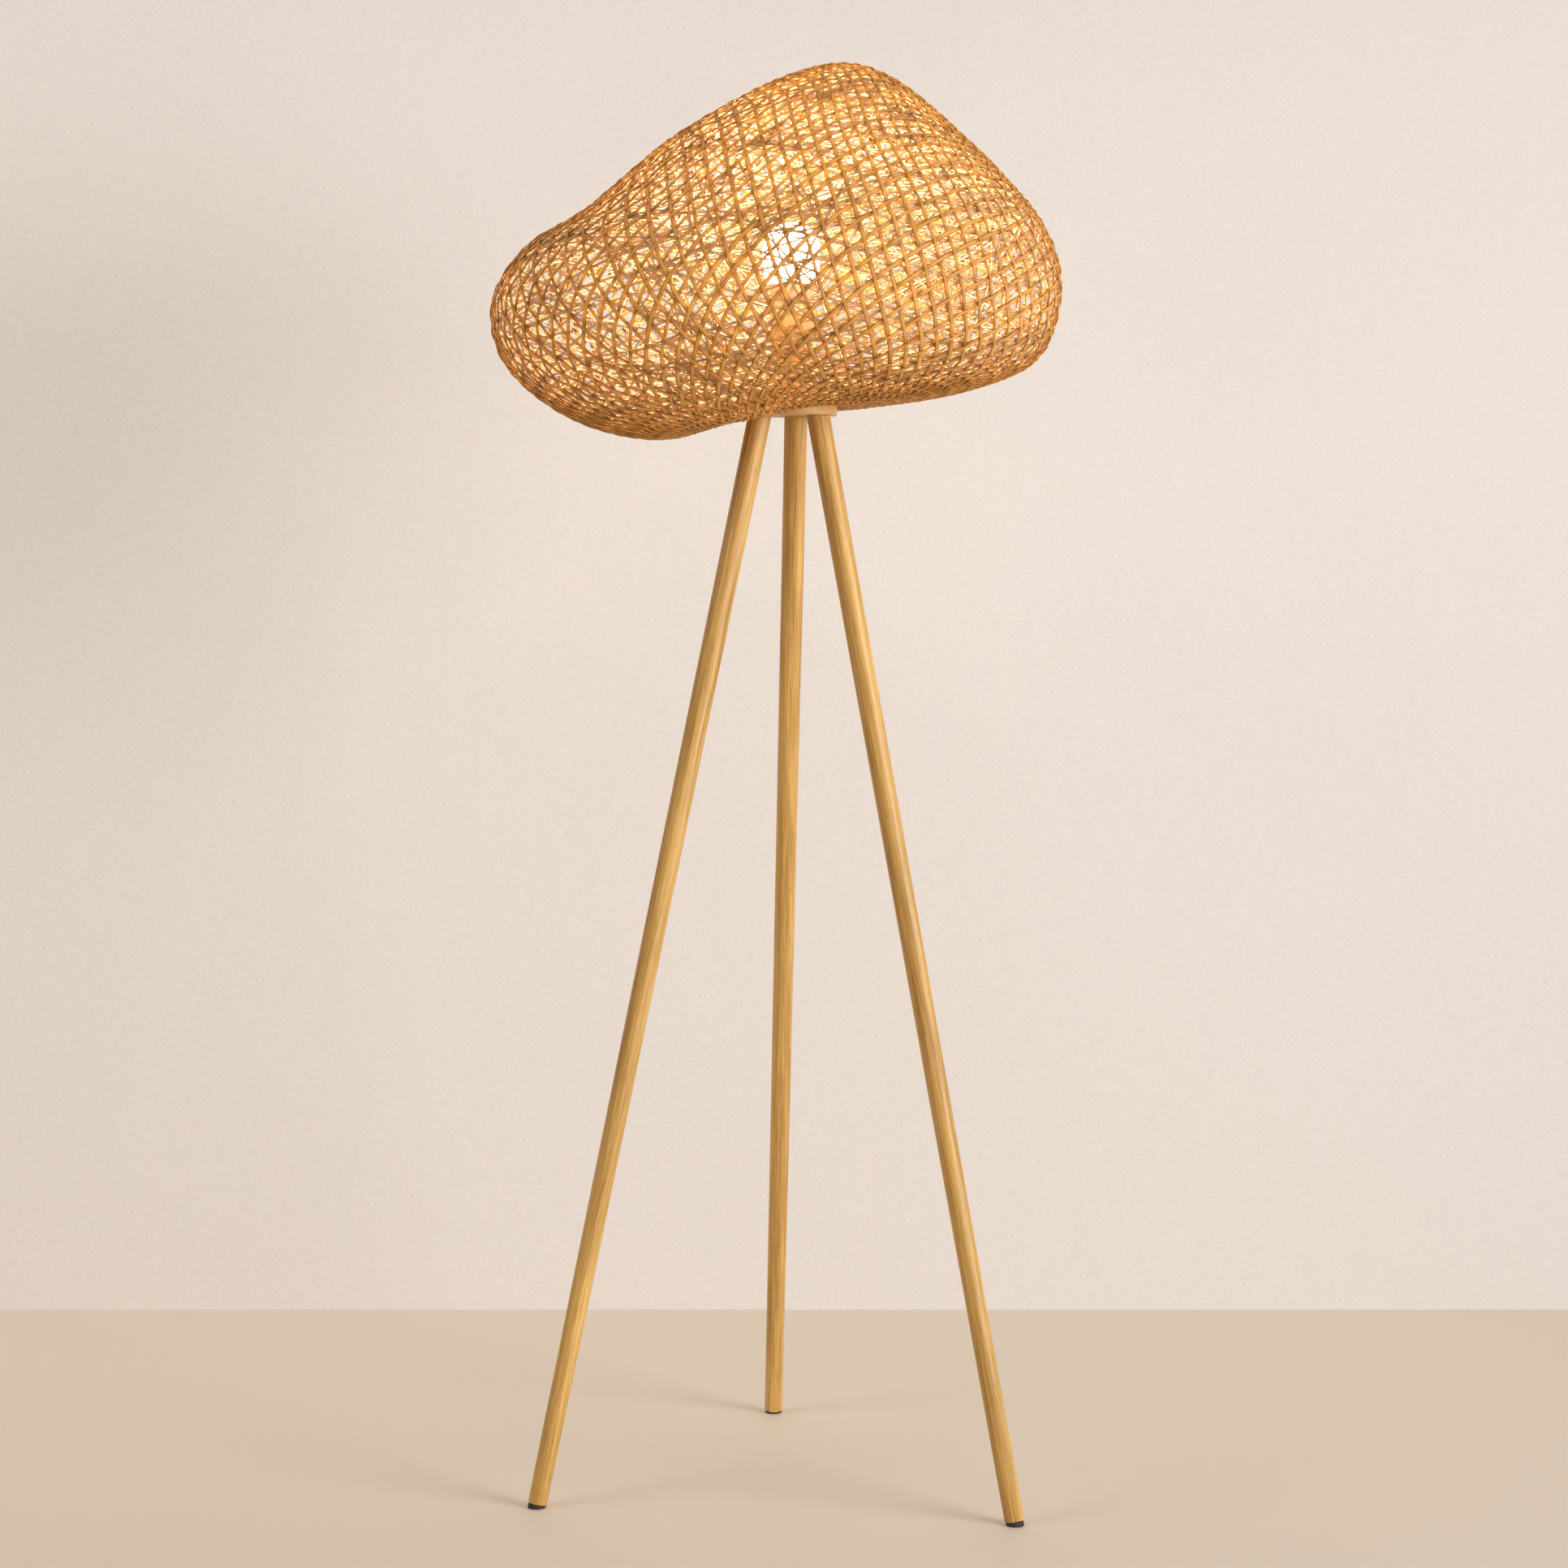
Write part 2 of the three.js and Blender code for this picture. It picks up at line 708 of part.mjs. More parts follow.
// A point of the shade's outside, by azimuth and share of the way from the crown to the mouth
function surfacePoint(azimuth, share) {
  const { places, lengths } = meridian(azimuth);
  const wanted = share * lengths[lengths.length - 1];
  let index = 1;
  while (index < lengths.length - 1 && lengths[index] < wanted) {
    index += 1;
  }
  const part = (wanted - lengths[index - 1]) / (lengths[index] - lengths[index - 1]);
  return places[index - 1].clone().lerp(places[index], part);
}

function surfaceNormal(azimuth, share) {
  const stepShare = 0.01;
  const turnStep = 2;
  if (share < stepShare) {
    const across = surfacePoint(0, stepShare).sub(surfacePoint(180, stepShare));
    const back = surfacePoint(90, stepShare).sub(surfacePoint(270, stepShare));
    return across.cross(back).normalize();
  }
  const high = surfacePoint(azimuth, share - stepShare);
  const low = surfacePoint(azimuth, Math.min(1, share + stepShare));
  const left = surfacePoint(azimuth - turnStep, share);
  const right = surfacePoint(azimuth + turnStep, share);
  return low.sub(high).cross(right.sub(left)).normalize();
}

// Weave net: a square patch of nodes over the crown, then rows of nodes down to the mouth, four patch
// sides to a row. Nodes alternate between crossings of strands and the middles of openings.

const columns = 4 * crownCells;
const half = crownCells / 2;

// The row node that a node on the patch's edge is
function edgeColumn(a, b) {
  if (a === crownCells) {
    return b;
  }
  if (b === crownCells) {
    return 2 * crownCells - a;
  }
  if (a === 0) {
    return 3 * crownCells - b;
  }
  return 3 * crownCells + a;
}

function inPatch(a, b) {
  return a > 0 && a < crownCells && b > 0 && b < crownCells;
}

function patchNode(a, b) {
  return inPatch(a, b) ? `patch ${a} ${b}` : rowNode(0, edgeColumn(a, b));
}

function rowNode(row, column) {
  return `row ${row} ${(column + columns) % columns}`;
}

// The patch node next to a node of the first row, towards the crown
function innerNeighbour(column) {
  const side = Math.floor(column / crownCells);
  const along = column % crownCells;
  const inner = crownCells - 1;
  const places = [[inner, along], [crownCells - along, inner], [1, crownCells - along], [along, 1]];
  return patchNode(...places[side]);
}

function buildNodes() {
  const nodes = new Map();
  for (let a = 1; a < crownCells; a += 1) {
    for (let b = 1; b < crownCells; b += 1) {
      const across = (a - half) / half;
      const back = (b - half) / half;
      const out = Math.max(Math.abs(across), Math.abs(back));
      let azimuth = 0;
      if (Math.abs(across) >= Math.abs(back) && out > 0) {
        azimuth = (45 * back) / across + (across < 0 ? 180 : 0);
      } else if (out > 0) {
        azimuth = 90 - (45 * across) / back + (back < 0 ? 180 : 0);
      }
      nodes.set(patchNode(a, b), { azimuth, share: out * crownShare, odd: (a + b) % 2 === 1 });
    }
  }
  for (let row = 0; row <= sideRows; row += 1) {
    for (let column = 0; column < columns; column += 1) {
      const share = crownShare + ((1 - crownShare) * row) / sideRows;
      const azimuth = (column / columns) * 360 - 45;
      nodes.set(rowNode(row, column), { azimuth, share, odd: (row + column) % 2 === 1 });
    }
  }
  return nodes;
}

// A node's neighbours, anticlockwise as seen from outside. At the mouth the node itself stands for the one below.
function rowNeighbours(row, column) {
  const above = row === 0 ? innerNeighbour(column) : rowNode(row - 1, column);
  const below = row === sideRows ? rowNode(row, column) : rowNode(row + 1, column);
  return [rowNode(row, column + 1), above, rowNode(row, column - 1), below];
}

// The corners of each opening, by the node in its middle
function buildOpenings(nodes) {
  const corners = new Map();
  for (let a = 1; a < crownCells; a += 1) {
    for (let b = 1; b < crownCells; b += 1) {
      const name = patchNode(a, b);
      if (nodes.get(name).odd) {
        corners.set(name, [patchNode(a + 1, b), patchNode(a, b + 1), patchNode(a - 1, b), patchNode(a, b - 1)]);
      }
    }
  }
  for (let row = 0; row <= sideRows; row += 1) {
    for (let column = 0; column < columns; column += 1) {
      const name = rowNode(row, column);
      if (nodes.get(name).odd) {
        corners.set(name, rowNeighbours(row, column));
      }
    }
  }
  return corners;
}

// Collects triangles of a thin wall that has an outside and an inside
class Wall {
  constructor() {
    this.positions = [];
    this.corners = [];
  }

  addPoint(outside, inside) {
    this.positions.push(...outside.toArray(), ...inside.toArray());
    return this.positions.length / 3 - 2;
  }

  addSkin(loop) {
    for (let corner = 1; corner < loop.length - 1; corner += 1) {
      this.corners.push(loop[0], loop[corner], loop[corner + 1]);
      this.corners.push(loop[0] + 1, loop[corner + 1] + 1, loop[corner] + 1);
    }
  }

  // The wall's edge from one point to the next, facing to the left of that way as seen from outside
  addEdge(start, end) {
    this.corners.push(start, end, end + 1);
    this.corners.push(start, end + 1, start + 1);
  }

  geometry() {
    const geometry = new THREE.BufferGeometry();
    geometry.setAttribute("position", new THREE.Float32BufferAttribute(this.positions, 3));
    geometry.setIndex(this.corners);
    geometry.computeVertexNormals();
    return geometry;
  }
}

function layerPoints(nodes, outerDepth, innerDepth) {
  const points = new Map();
  for (const [name, { azimuth, share }] of nodes) {
    const place = surfacePoint(azimuth, share);
    const normal = surfaceNormal(azimuth, share);
    const outside = place.clone().addScaledVector(normal, -outerDepth);
    const inside = place.clone().addScaledVector(normal, -innerDepth);
    points.set(name, { outside, inside });
  }
  return points;
}

// The corner after one of an opening's four corners, and the one before it
function following(index) {
  return (index + 1) % 4;
}

function preceding(index) {
  return (index + 3) % 4;
}

// A corner moved into an opening by half a strand's width from both of its sides
function insetByStrand(corners, index) {
  const corner = corners[index];
  const backwards = corners[preceding(index)].clone().sub(corner).normalize();
  const forwards = corners[following(index)].clone().sub(corner).normalize();
  const sine = backwards.clone().cross(forwards).length();
  return corner.clone().addScaledVector(backwards.add(forwards), strandWidth / 2 / sine);
}

// A corner moved by a share of its way to the middle of its opening
function insetByShare(corners, index) {
  const sum = corners.reduce((total, corner) => total.add(corner), new THREE.Vector3());
  return corners[index].clone().lerp(sum.divideScalar(corners.length), innerInsetShare);
}

// A net between two depths under the shade's outside. Its openings are the faces, drawn in at their corners.
function makeNet(nodes, faces, outerDepth, innerDepth, insetCorner) {
  const wall = new Wall();
  const points = layerPoints(nodes, outerDepth, innerDepth);
  const insets = faces.map((face) => {
    const outside = face.map((name) => points.get(name).outside);
    const inside = face.map((name) => points.get(name).inside);
    return face.map((name, index) => wall.addPoint(insetCorner(outside, index), insetCorner(inside, index)));
  });
  const edgeOwners = new Map();
  faces.forEach((face, owner) => {
    face.forEach((name, index) => edgeOwners.set(`${name} to ${face[following(index)]}`, { owner, index }));
  });
  const rimIds = new Map();
  const rimPoint = (name) => {
    if (!rimIds.has(name)) {
      const { outside, inside } = points.get(name);
      rimIds.set(name, wall.addPoint(outside, inside));
    }
    return rimIds.get(name);
  };
  faces.forEach((face, owner) => {
    face.forEach((name, index) => {
      const next = face[following(index)];
      const own = [insets[owner][index], insets[owner][following(index)]];
      wall.addEdge(own[0], own[1]);
      const across = edgeOwners.get(`${next} to ${name}`);
      if (across === undefined) {
        wall.addSkin([rimPoint(name), rimPoint(next), own[1], own[0]]);
        wall.addEdge(rimPoint(next), rimPoint(name));
      } else if (owner < across.owner) {
        const other = [insets[across.owner][following(across.index)], insets[across.owner][across.index]];
        wall.addSkin([other[0], other[1], own[1], own[0]]);
      }
    });
  });
  addCrossings(wall, faces, insets, edgeOwners, rimPoint);
  return wall.geometry();
}

// The patch where strands cross, between the openings that meet there
function addCrossings(wall, faces, insets, edgeOwners, rimPoint) {
  const done = new Set();
  faces.forEach((face, firstOwner) => {
    face.forEach((name, firstIndex) => {
      if (done.has(name)) {
        return;
      }
      let owner = firstOwner;
      let index = firstIndex;
      const start = walkBack(name, faces, edgeOwners, owner, index);
      owner = start.owner;
      index = start.index;
      const loop = [];
      let closed = false;
      while (!closed) {
        loop.push(insets[owner][index]);
        const before = faces[owner][preceding(index)];
        const across = edgeOwners.get(`${name} to ${before}`);
        if (across === undefined) {
          loop.push(rimPoint(name));
          closed = true;
        } else {
          owner = across.owner;
          index = across.index;
          closed = owner === start.owner;
        }
      }
      if (loop.length > 2) {
        wall.addSkin(loop);
      }
      done.add(name);
    });
  });
}

// The first opening of those round a crossing: any at all where they close a ring, else the one at the rim
function walkBack(name, faces, edgeOwners, firstOwner, firstIndex) {
  let owner = firstOwner;
  let index = firstIndex;
  for (;;) {
    const next = faces[owner][following(index)];
    const across = edgeOwners.get(`${next} to ${name}`);
    if (across === undefined) {
      return { owner, index };
    }
    owner = across.owner;
    index = following(across.index);
    if (owner === firstOwner) {
      return { owner, index };
    }
  }
}

// A gore of a layer: what lies between two seams that run through the hub's axis
function makeGore(layer, index) {
  const span = 360 / innerGores;
  const azimuth = firstSeamAzimuth + index * span;
  const side = 4 * Math.max(rightReach, leftReach, crownRise);
  const corners = [onCircle(0, azimuth, 0), onCircle(side, azimuth, 0), onCircle(side, azimuth + span, 0)];
  const shape = new THREE.Shape(corners.map(({ x, y }) => new THREE.Vector2(x, y)));
  const clear = onCircle(fit / 2 / Math.sin(radians(span / 2)), azimuth + span / 2, hoopHeight - side / 2);
  const wedge = new THREE.ExtrudeGeometry(shape, { depth: side, bevelEnabled: false });
  const parts = layer.intersect(toSolid(wedge.translate(clear.x, clear.y, clear.z))).decompose();
  return toGeometry(parts.reduce((largest, part) => (part.volume() > largest.volume() ? part : largest)));
}

function makeShade() {
  const nodes = buildNodes();
  const faces = [...buildOpenings(nodes).values()];
  addPiece("shade_outer_weave", makeNet(nodes, faces, 0, outerWeaveThickness, insetByStrand), "outerRattan");
  const depth = outerWeaveThickness + layerGap;
  const inner = toSolid(makeNet(nodes, faces, depth, depth + innerWeaveThickness, insetByShare));
  for (let index = 0; index < innerGores; index += 1) {
    addPiece(`shade_inner_gore_${index + 1}`, makeGore(inner, index), "innerRattan");
  }
}

const legBores = makeLegs();
addPiece("hub", makeHub(legBores), "wood");
makeStem();
makeHolder();
makeBulb();
makeGallery();
makeShade();

const outerBox = new THREE.Box3().setFromObject(lamp, true);
const middle = outerBox.getCenter(new THREE.Vector3());
lamp.position.set(-middle.x, -middle.y, -outerBox.min.z);

export default lamp;
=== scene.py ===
import cmath
import json
import math
import bpy
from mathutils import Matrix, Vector

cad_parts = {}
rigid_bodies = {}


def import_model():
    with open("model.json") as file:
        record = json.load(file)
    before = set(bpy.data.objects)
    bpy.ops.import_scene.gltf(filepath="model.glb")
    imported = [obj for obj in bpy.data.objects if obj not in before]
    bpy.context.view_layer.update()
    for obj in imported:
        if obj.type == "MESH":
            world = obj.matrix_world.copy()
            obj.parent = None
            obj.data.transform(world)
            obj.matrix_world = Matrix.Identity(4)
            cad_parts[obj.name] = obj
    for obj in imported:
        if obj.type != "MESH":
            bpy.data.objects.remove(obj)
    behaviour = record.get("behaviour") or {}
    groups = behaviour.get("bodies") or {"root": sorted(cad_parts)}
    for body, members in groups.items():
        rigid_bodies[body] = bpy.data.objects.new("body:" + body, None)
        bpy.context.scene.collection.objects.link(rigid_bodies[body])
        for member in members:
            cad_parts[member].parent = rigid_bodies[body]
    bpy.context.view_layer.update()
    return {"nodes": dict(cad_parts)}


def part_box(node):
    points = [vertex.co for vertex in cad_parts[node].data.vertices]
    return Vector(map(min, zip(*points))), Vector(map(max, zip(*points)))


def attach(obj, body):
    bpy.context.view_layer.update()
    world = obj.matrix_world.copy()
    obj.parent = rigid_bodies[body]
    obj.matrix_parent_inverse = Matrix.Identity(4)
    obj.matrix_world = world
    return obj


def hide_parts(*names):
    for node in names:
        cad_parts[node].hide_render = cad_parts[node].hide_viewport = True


# The looks of a rattan floor lamp: strands woven over the shade's solids, smooth turned wood with
# its grain, a lit bulb and its holder, in a plain pale room. Lengths are in metres. Angles are in
# degrees, unless a comment says radians.

for starter in list(bpy.data.objects):
    bpy.data.objects.remove(starter)
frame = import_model()

# Heights and the hub's axis, taken from the solids
HUB_LOW, HUB_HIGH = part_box("hub")
HOOP_LOW, HOOP_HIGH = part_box("mouth_hoop")
AXIS = Vector(((HUB_LOW.x + HUB_HIGH.x) / 2, (HUB_LOW.y + HUB_HIGH.y) / 2, 0))
HOOP_HEIGHT = (HOOP_LOW.z + HOOP_HIGH.z) / 2
HOOP_TUBE = (HOOP_HIGH.z - HOOP_LOW.z) / 2
HOOP_RADIUS = (HOOP_HIGH.x - HOOP_LOW.x) / 2 - HOOP_TUBE

# Gap between pieces that touch
FIT = 0.0003

# Shade: reach from the hub's axis to each side, rise of the crown above the hoop, and the crown's lean
RIGHT_REACH = 0.279
LEFT_REACH = 0.314
FRONT_REACH = 0.238
BACK_REACH = 0.246
CROWN_RISE = 0.354
CROWN_LEAN = 0.059
VALLEY_DEPTH = 0.016
VALLEY_AZIMUTH = 268
VALLEY_WIDTH = 24
DIP_DEPTH = 0.01
DIP_AZIMUTH = 248
DIP_WIDTH = 32
MOUTH_LIP = 0.009
WEAVE_THICKNESS = 0.006

# Shade profile, level by level from the crown down to the mouth, as shares of the sizes above
LEAN_SHARES = [0.88, 0.58, 0.44, 0.3, 0.12, 0, 0, 0, 0]
VALLEY_SHARES = [0, 0, 0, 0, 0.1, 0.45, 0.9, 1, 0.5]
DIP_SHARES = [0, 0, 0, 0, 0, 0, 0, 0.4, 1]
SIDES = [
    {
        "azimuth": 0,
        "reach": RIGHT_REACH,
        "reach_shares": [0.204, 0.559, 0.72, 0.871, 0.982, 1, 0.921, 0.663, 0.362],
        "rise_shares": [0.952, 0.76, 0.655, 0.54, 0.401, 0.254, 0.127, 0.04, 0.003],
    },
    {
        "azimuth": 90,
        "reach": BACK_REACH,
        "reach_shares": [0.19, 0.53, 0.7, 0.86, 0.97, 1, 0.93, 0.67, 0.39],
        "rise_shares": [0.96, 0.785, 0.678, 0.554, 0.41, 0.257, 0.124, 0.011, -0.014],
    },
    {
        "azimuth": 180,
        "reach": LEFT_REACH,
        "reach_shares": [0.182, 0.494, 0.624, 0.755, 0.911, 1, 0.959, 0.707, 0.379],
        "rise_shares": [0.963, 0.788, 0.678, 0.562, 0.458, 0.297, 0.119, -0.056, -0.099],
    },
    {
        "azimuth": 270,
        "reach": FRONT_REACH,
        "reach_shares": [0.19, 0.54, 0.71, 0.85, 0.96, 1, 0.93, 0.66, 0.4],
        "rise_shares": [0.963, 0.788, 0.684, 0.562, 0.424, 0.274, 0.136, 0.023, -0.011],
    },
]
STEPS_PER_LEVEL = 6
SHADE_COLUMNS = 180
SHADE_ROWS = 96

# Braid of the outer layer: a square plait, its middle behind the crown, then rows of crossings to the
# mouth. PLAIT_HALF is the number of steps from the plait's middle to each side, and a column of the
# rows hangs from each step of its edge. BRAID_GATHER is in radians.
PLAIT_HALF = 20
PLAIT_SHARE = 0.24
PLAIT_SQUARENESS = 0.5
PLAIT_CORNER_AZIMUTH = -45
PLAIT_MIDDLE_SHARE = 0.26
PLAIT_MIDDLE_AZIMUTH = 65
BRAID_ROWS = 46
BRAID_COLUMNS = 8 * PLAIT_HALF
BRAID_TURN_RATE = 3
BRAID_CLOSING = 0.4
BRAID_GATHER = 0.15
BRAID_GATHER_AZIMUTH = 200
SETTLED_ROWS = 10
SETTLING_ROUNDS = 60
STRAND_WIDTH = 0.0043
STRAND_THICKNESS = 0.0019
STRAND_LIFT = 0.0012
STRAND_DEPTH = 0.0016
STRAND_STEP = 0.006
STRAND_WIDTH_SPREAD = 0.14
STRAND_CORNERS = 8

# Inner layer: split strands laid nearly level, with some steep ones among them, all a little wavy.
# Their number is for a square metre, and their slopes and the wave's angles are in radians.
FINE_STRAND_WIDTH = 0.0022
FINE_STRAND_THICKNESS = 0.0006
FINE_STRAND_LENGTH = 0.26
FINE_STRANDS_PER_AREA = 600
FINE_CROWDING = 3.0
FINE_LEAST_DEPTH = 0.0044
FINE_MOST_DEPTH = 0.0066
FINE_WIDTH_SPREAD = 0.3
FINE_CORNERS = 4
FINE_POINTS = 22
FINE_SLOPES = (0.08, 0.5)
STEEP_SHARE = 0.22
STEEP_EXTRA_SLOPES = (0.5, 0.9)
WAVE_PER_METRE = 260
WAVE_LATEST_START = 6.28
WAVE_HEIGHT = 0.0005

# Turned and moulded pieces, with the solids' sizes. An EASE is the radius of a softened edge, and
# ARC_MIDDLE tells where the arc's middle lies between a square corner and the arc's centre.
ROUND_FACETS = 96
ARC_MIDDLE = 1 - math.cos(math.radians(45))
SMALL_EASE = 0.0006
STEM_BORE = 0.0053
HUB_THICKNESS = 0.016
BOSS_RADIUS = 0.032
COUNTERBORE_RADIUS = 0.014
COUNTERBORE_DEPTH = 0.009
HUB_EASE = 0.0014
HUB_GRAIN = (1, 0.15, 0)
HUB_GRAIN_OFFSET = 0.02
LEGS = {
    "left": {"seat_azimuth": 202, "foot_azimuth": 202, "grain_offset": 0.3},
    "right": {"seat_azimuth": 322, "foot_azimuth": 323, "grain_offset": 0.7},
    "rear": {"seat_azimuth": 82, "foot_azimuth": 94, "grain_offset": 1.1},
}
SEAT_CIRCLE = 0.0355
FOOT_CIRCLE = 0.286
LEG_FOOT_RADIUS = 0.01
LEG_TAPER = 0.0022
LEG_STEPS = 8
LEG_EASE = 0.001
LEG_EASE_MIDDLE = 0.0003
PAD_HEIGHT = 0.004
PAD_RADIUS = 0.0092
PAD_TOP_EASE = 0.0005
HOLDER_WALL = 0.0022
HOLDER_NECK = 0.012
HOLDER_FLARE = 0.012
HOLDER_LEDGE = 0.003
HOLDER_CAP_EASE = 0.0008
DOME_NECK = 0.026
DOME_WALL = 0.0012
DOME_STEPS = 16
HOUSING_NECK = 0.015
HOUSING_FLARE_SHARE = 1 / 3
CAP_WALL = 0.001
CAP_TAPER_SHARE = 1 / 3
TIP_RADIUS = 0.005
THREAD_PITCH = 0.0036
THREAD_DEPTH = 0.0009
THREAD_EDGE = 0.0012
THREAD_STEPS = 8

# Mouth hoop: a flat strand wound round a core
WRAP_WIDTH = 0.0042
WRAP_THICKNESS = 0.0007
WRAP_PITCH = 0.0045
WRAP_STEPS = 12
WRAP_SWEEP_STEP = 0.0016


# Shade surface


def side_weights(azimuth):
    return [max(0, math.cos(math.radians(azimuth - side["azimuth"]))) ** 2 for side in SIDES]


def on_circle(radius, azimuth, height):
    angle = math.radians(azimuth)
    return Vector((radius * math.cos(angle), radius * math.sin(angle), height))


def swell(azimuth, middle, width):
    """1 at the middle azimuth, fading to 0 over a few widths on both sides"""
    turn = (azimuth - middle + 180) % 360 - 180
    return math.exp(-((turn / width) ** 2))


def meridian_knots(azimuth):
    """The points that a meridian runs through, from the crown down to the mouth's edge"""
    weights = side_weights(azimuth)
    valley = VALLEY_DEPTH * swell(azimuth, VALLEY_AZIMUTH, VALLEY_WIDTH)
    dip = DIP_DEPTH * swell(azimuth, DIP_AZIMUTH, DIP_WIDTH)
    knots = [Vector((CROWN_LEAN, 0, HOOP_HEIGHT + CROWN_RISE))]
    for level, lean_share in enumerate(LEAN_SHARES):
        inverse_square = 0
        rise = 0
        for weight, side in zip(weights, SIDES):
            inverse_square += weight / (side["reach"] * side["reach_shares"][level]) ** 2
            rise += weight * CROWN_RISE * side["rise_shares"][level]
        reach = 1 / math.sqrt(inverse_square) - valley * VALLEY_SHARES[level]
        knot = on_circle(reach, azimuth, HOOP_HEIGHT + rise)
        knot.x += CROWN_LEAN * lean_share
        knot.z -= dip * DIP_SHARES[level]
        knots.append(knot)
    mouth_radius = HOOP_RADIUS + HOOP_TUBE + FIT
    knots.append(on_circle(mouth_radius + MOUTH_LIP, azimuth, HOOP_HEIGHT - WEAVE_THICKNESS / 2))
    knots.append(on_circle(mouth_radius, azimuth, HOOP_HEIGHT - WEAVE_THICKNESS / 2))
    return knots


def span_point(before, start, end, after, share):
    """One span of a cubic through four points, with tangents from the spacing of its neighbours"""
    lead = math.sqrt((start - before).length)
    own = math.sqrt((end - start).length)
    trail = math.sqrt((after - end).length)
    slope = (end - start) / own
    start_tangent = ((start - before) / lead * own + slope * lead) / (lead + own) * own
    end_tangent = (slope * trail + (after - end) / trail * own) / (own + trail) * own
    rest = 1 - share
    place = start * (1 + 2 * share) * rest**2 + start_tangent * share * rest**2
    return place + end * (3 - 2 * share) * share**2 - end_tangent * rest * share**2


def meridian(azimuth):
    """A meridian as places at even steps of its length, from the crown to the mouth"""
    knots = meridian_knots(azimuth)
    beyond_crown = meridian_knots(azimuth + 180)[1]
    beyond_mouth = knots[-1] * 2 - knots[-2]
    points = [beyond_crown, *knots, beyond_mouth]
    places = [knots[0]]
    lengths = [0]
    for span in range(len(knots) - 1):
        for step in range(1, STEPS_PER_LEVEL + 1):
            place = span_point(*points[span : span + 4], step / STEPS_PER_LEVEL)
            lengths.append(lengths[-1] + (place - places[-1]).length)
            places.append(place)
    even = []
    index = 1
    for row in range(SHADE_ROWS + 1):
        wanted = lengths[-1] * row / SHADE_ROWS
        while index < len(lengths) - 1 and lengths[index] < wanted:
            index += 1
        part = (wanted - lengths[index - 1]) / (lengths[index] - lengths[index - 1])
        even.append(places[index - 1].lerp(places[index], part) + AXIS)
    return even


class ShadeForm:
    """The shade's outside, as a fine grid of places by azimuth and by share of the way down"""

    def __init__(self):
        self.grid = [meridian(360 * column / SHADE_COLUMNS) for column in range(SHADE_COLUMNS)]

    def at(self, azimuth, share):
        turn = (azimuth % 360) / 360 * SHADE_COLUMNS
        step = min(max(share, 0), 1) * SHADE_ROWS
        column = int(turn)
        row = min(int(step), SHADE_ROWS - 1)
        left = self.grid[column % SHADE_COLUMNS]
        right = self.grid[(column + 1) % SHADE_COLUMNS]
        high = left[row].lerp(right[row], turn - column)
        low = left[row + 1].lerp(right[row + 1], turn - column)
        return high.lerp(low, step - row)

    def outward(self, azimuth, share):
        share_step = 1 / SHADE_ROWS
        turn_step = 360 / SHADE_COLUMNS
        if share < share_step:
            across = self.at(0, share_step) - self.at(180, share_step)
            back = self.at(90, share_step) - self.at(270, share_step)
            return across.cross(back).normalized()
        down = self.at(azimuth, share + share_step) - self.at(azimuth, share - share_step)
        right = self.at(azimuth + turn_step, share) - self.at(azimuth - turn_step, share)
        return down.cross(right).normalized()

    def skin(self):
        """The outside as a mesh of quads, with the crown as one point"""
        places = [self.grid[0][0]]
        for row in range(1, SHADE_ROWS + 1):
            places.extend(meridian_places[row] for meridian_places in self.grid)
        faces = []
        for column in range(SHADE_COLUMNS):
            beside = (column + 1) % SHADE_COLUMNS
            faces.append((0, 1 + column, 1 + beside))
            for row in range(SHADE_ROWS - 1):
                high = 1 + row * SHADE_COLUMNS
                low = high + SHADE_COLUMNS
                faces.append((high + column, low + column, low + beside, high + beside))
        return new_mesh("shade_skin", places, [], faces)


# Meshes and objects


def new_mesh(name, places, edges, faces):
    mesh = bpy.data.meshes.new(name)
    mesh.from_pydata([tuple(place) for place in places], edges, faces)
    mesh.update()
    return mesh


def new_object(name, data):
    piece = bpy.data.objects.new(name, data)
    bpy.context.scene.collection.objects.link(piece)
    return piece


def smooth(mesh, crease=35):
    mesh.polygons.foreach_set("use_smooth", [True] * len(mesh.polygons))
    mesh.set_sharp_from_angle(angle=math.radians(crease))


def fit_out(piece, body, slot, *nodes):
    """Makes the piece move with its body and hides the solids it stands for; the slot is not used"""
    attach(piece, body)
    if nodes:
        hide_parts(*nodes)


# Node trees: sums on sockets are written as Python expressions


def pick(sockets, key):
    """A socket by its place or by its name"""
    if isinstance(key, int):
        return sockets[key]
    return next(socket for socket in sockets if socket.name == key and socket.enabled)


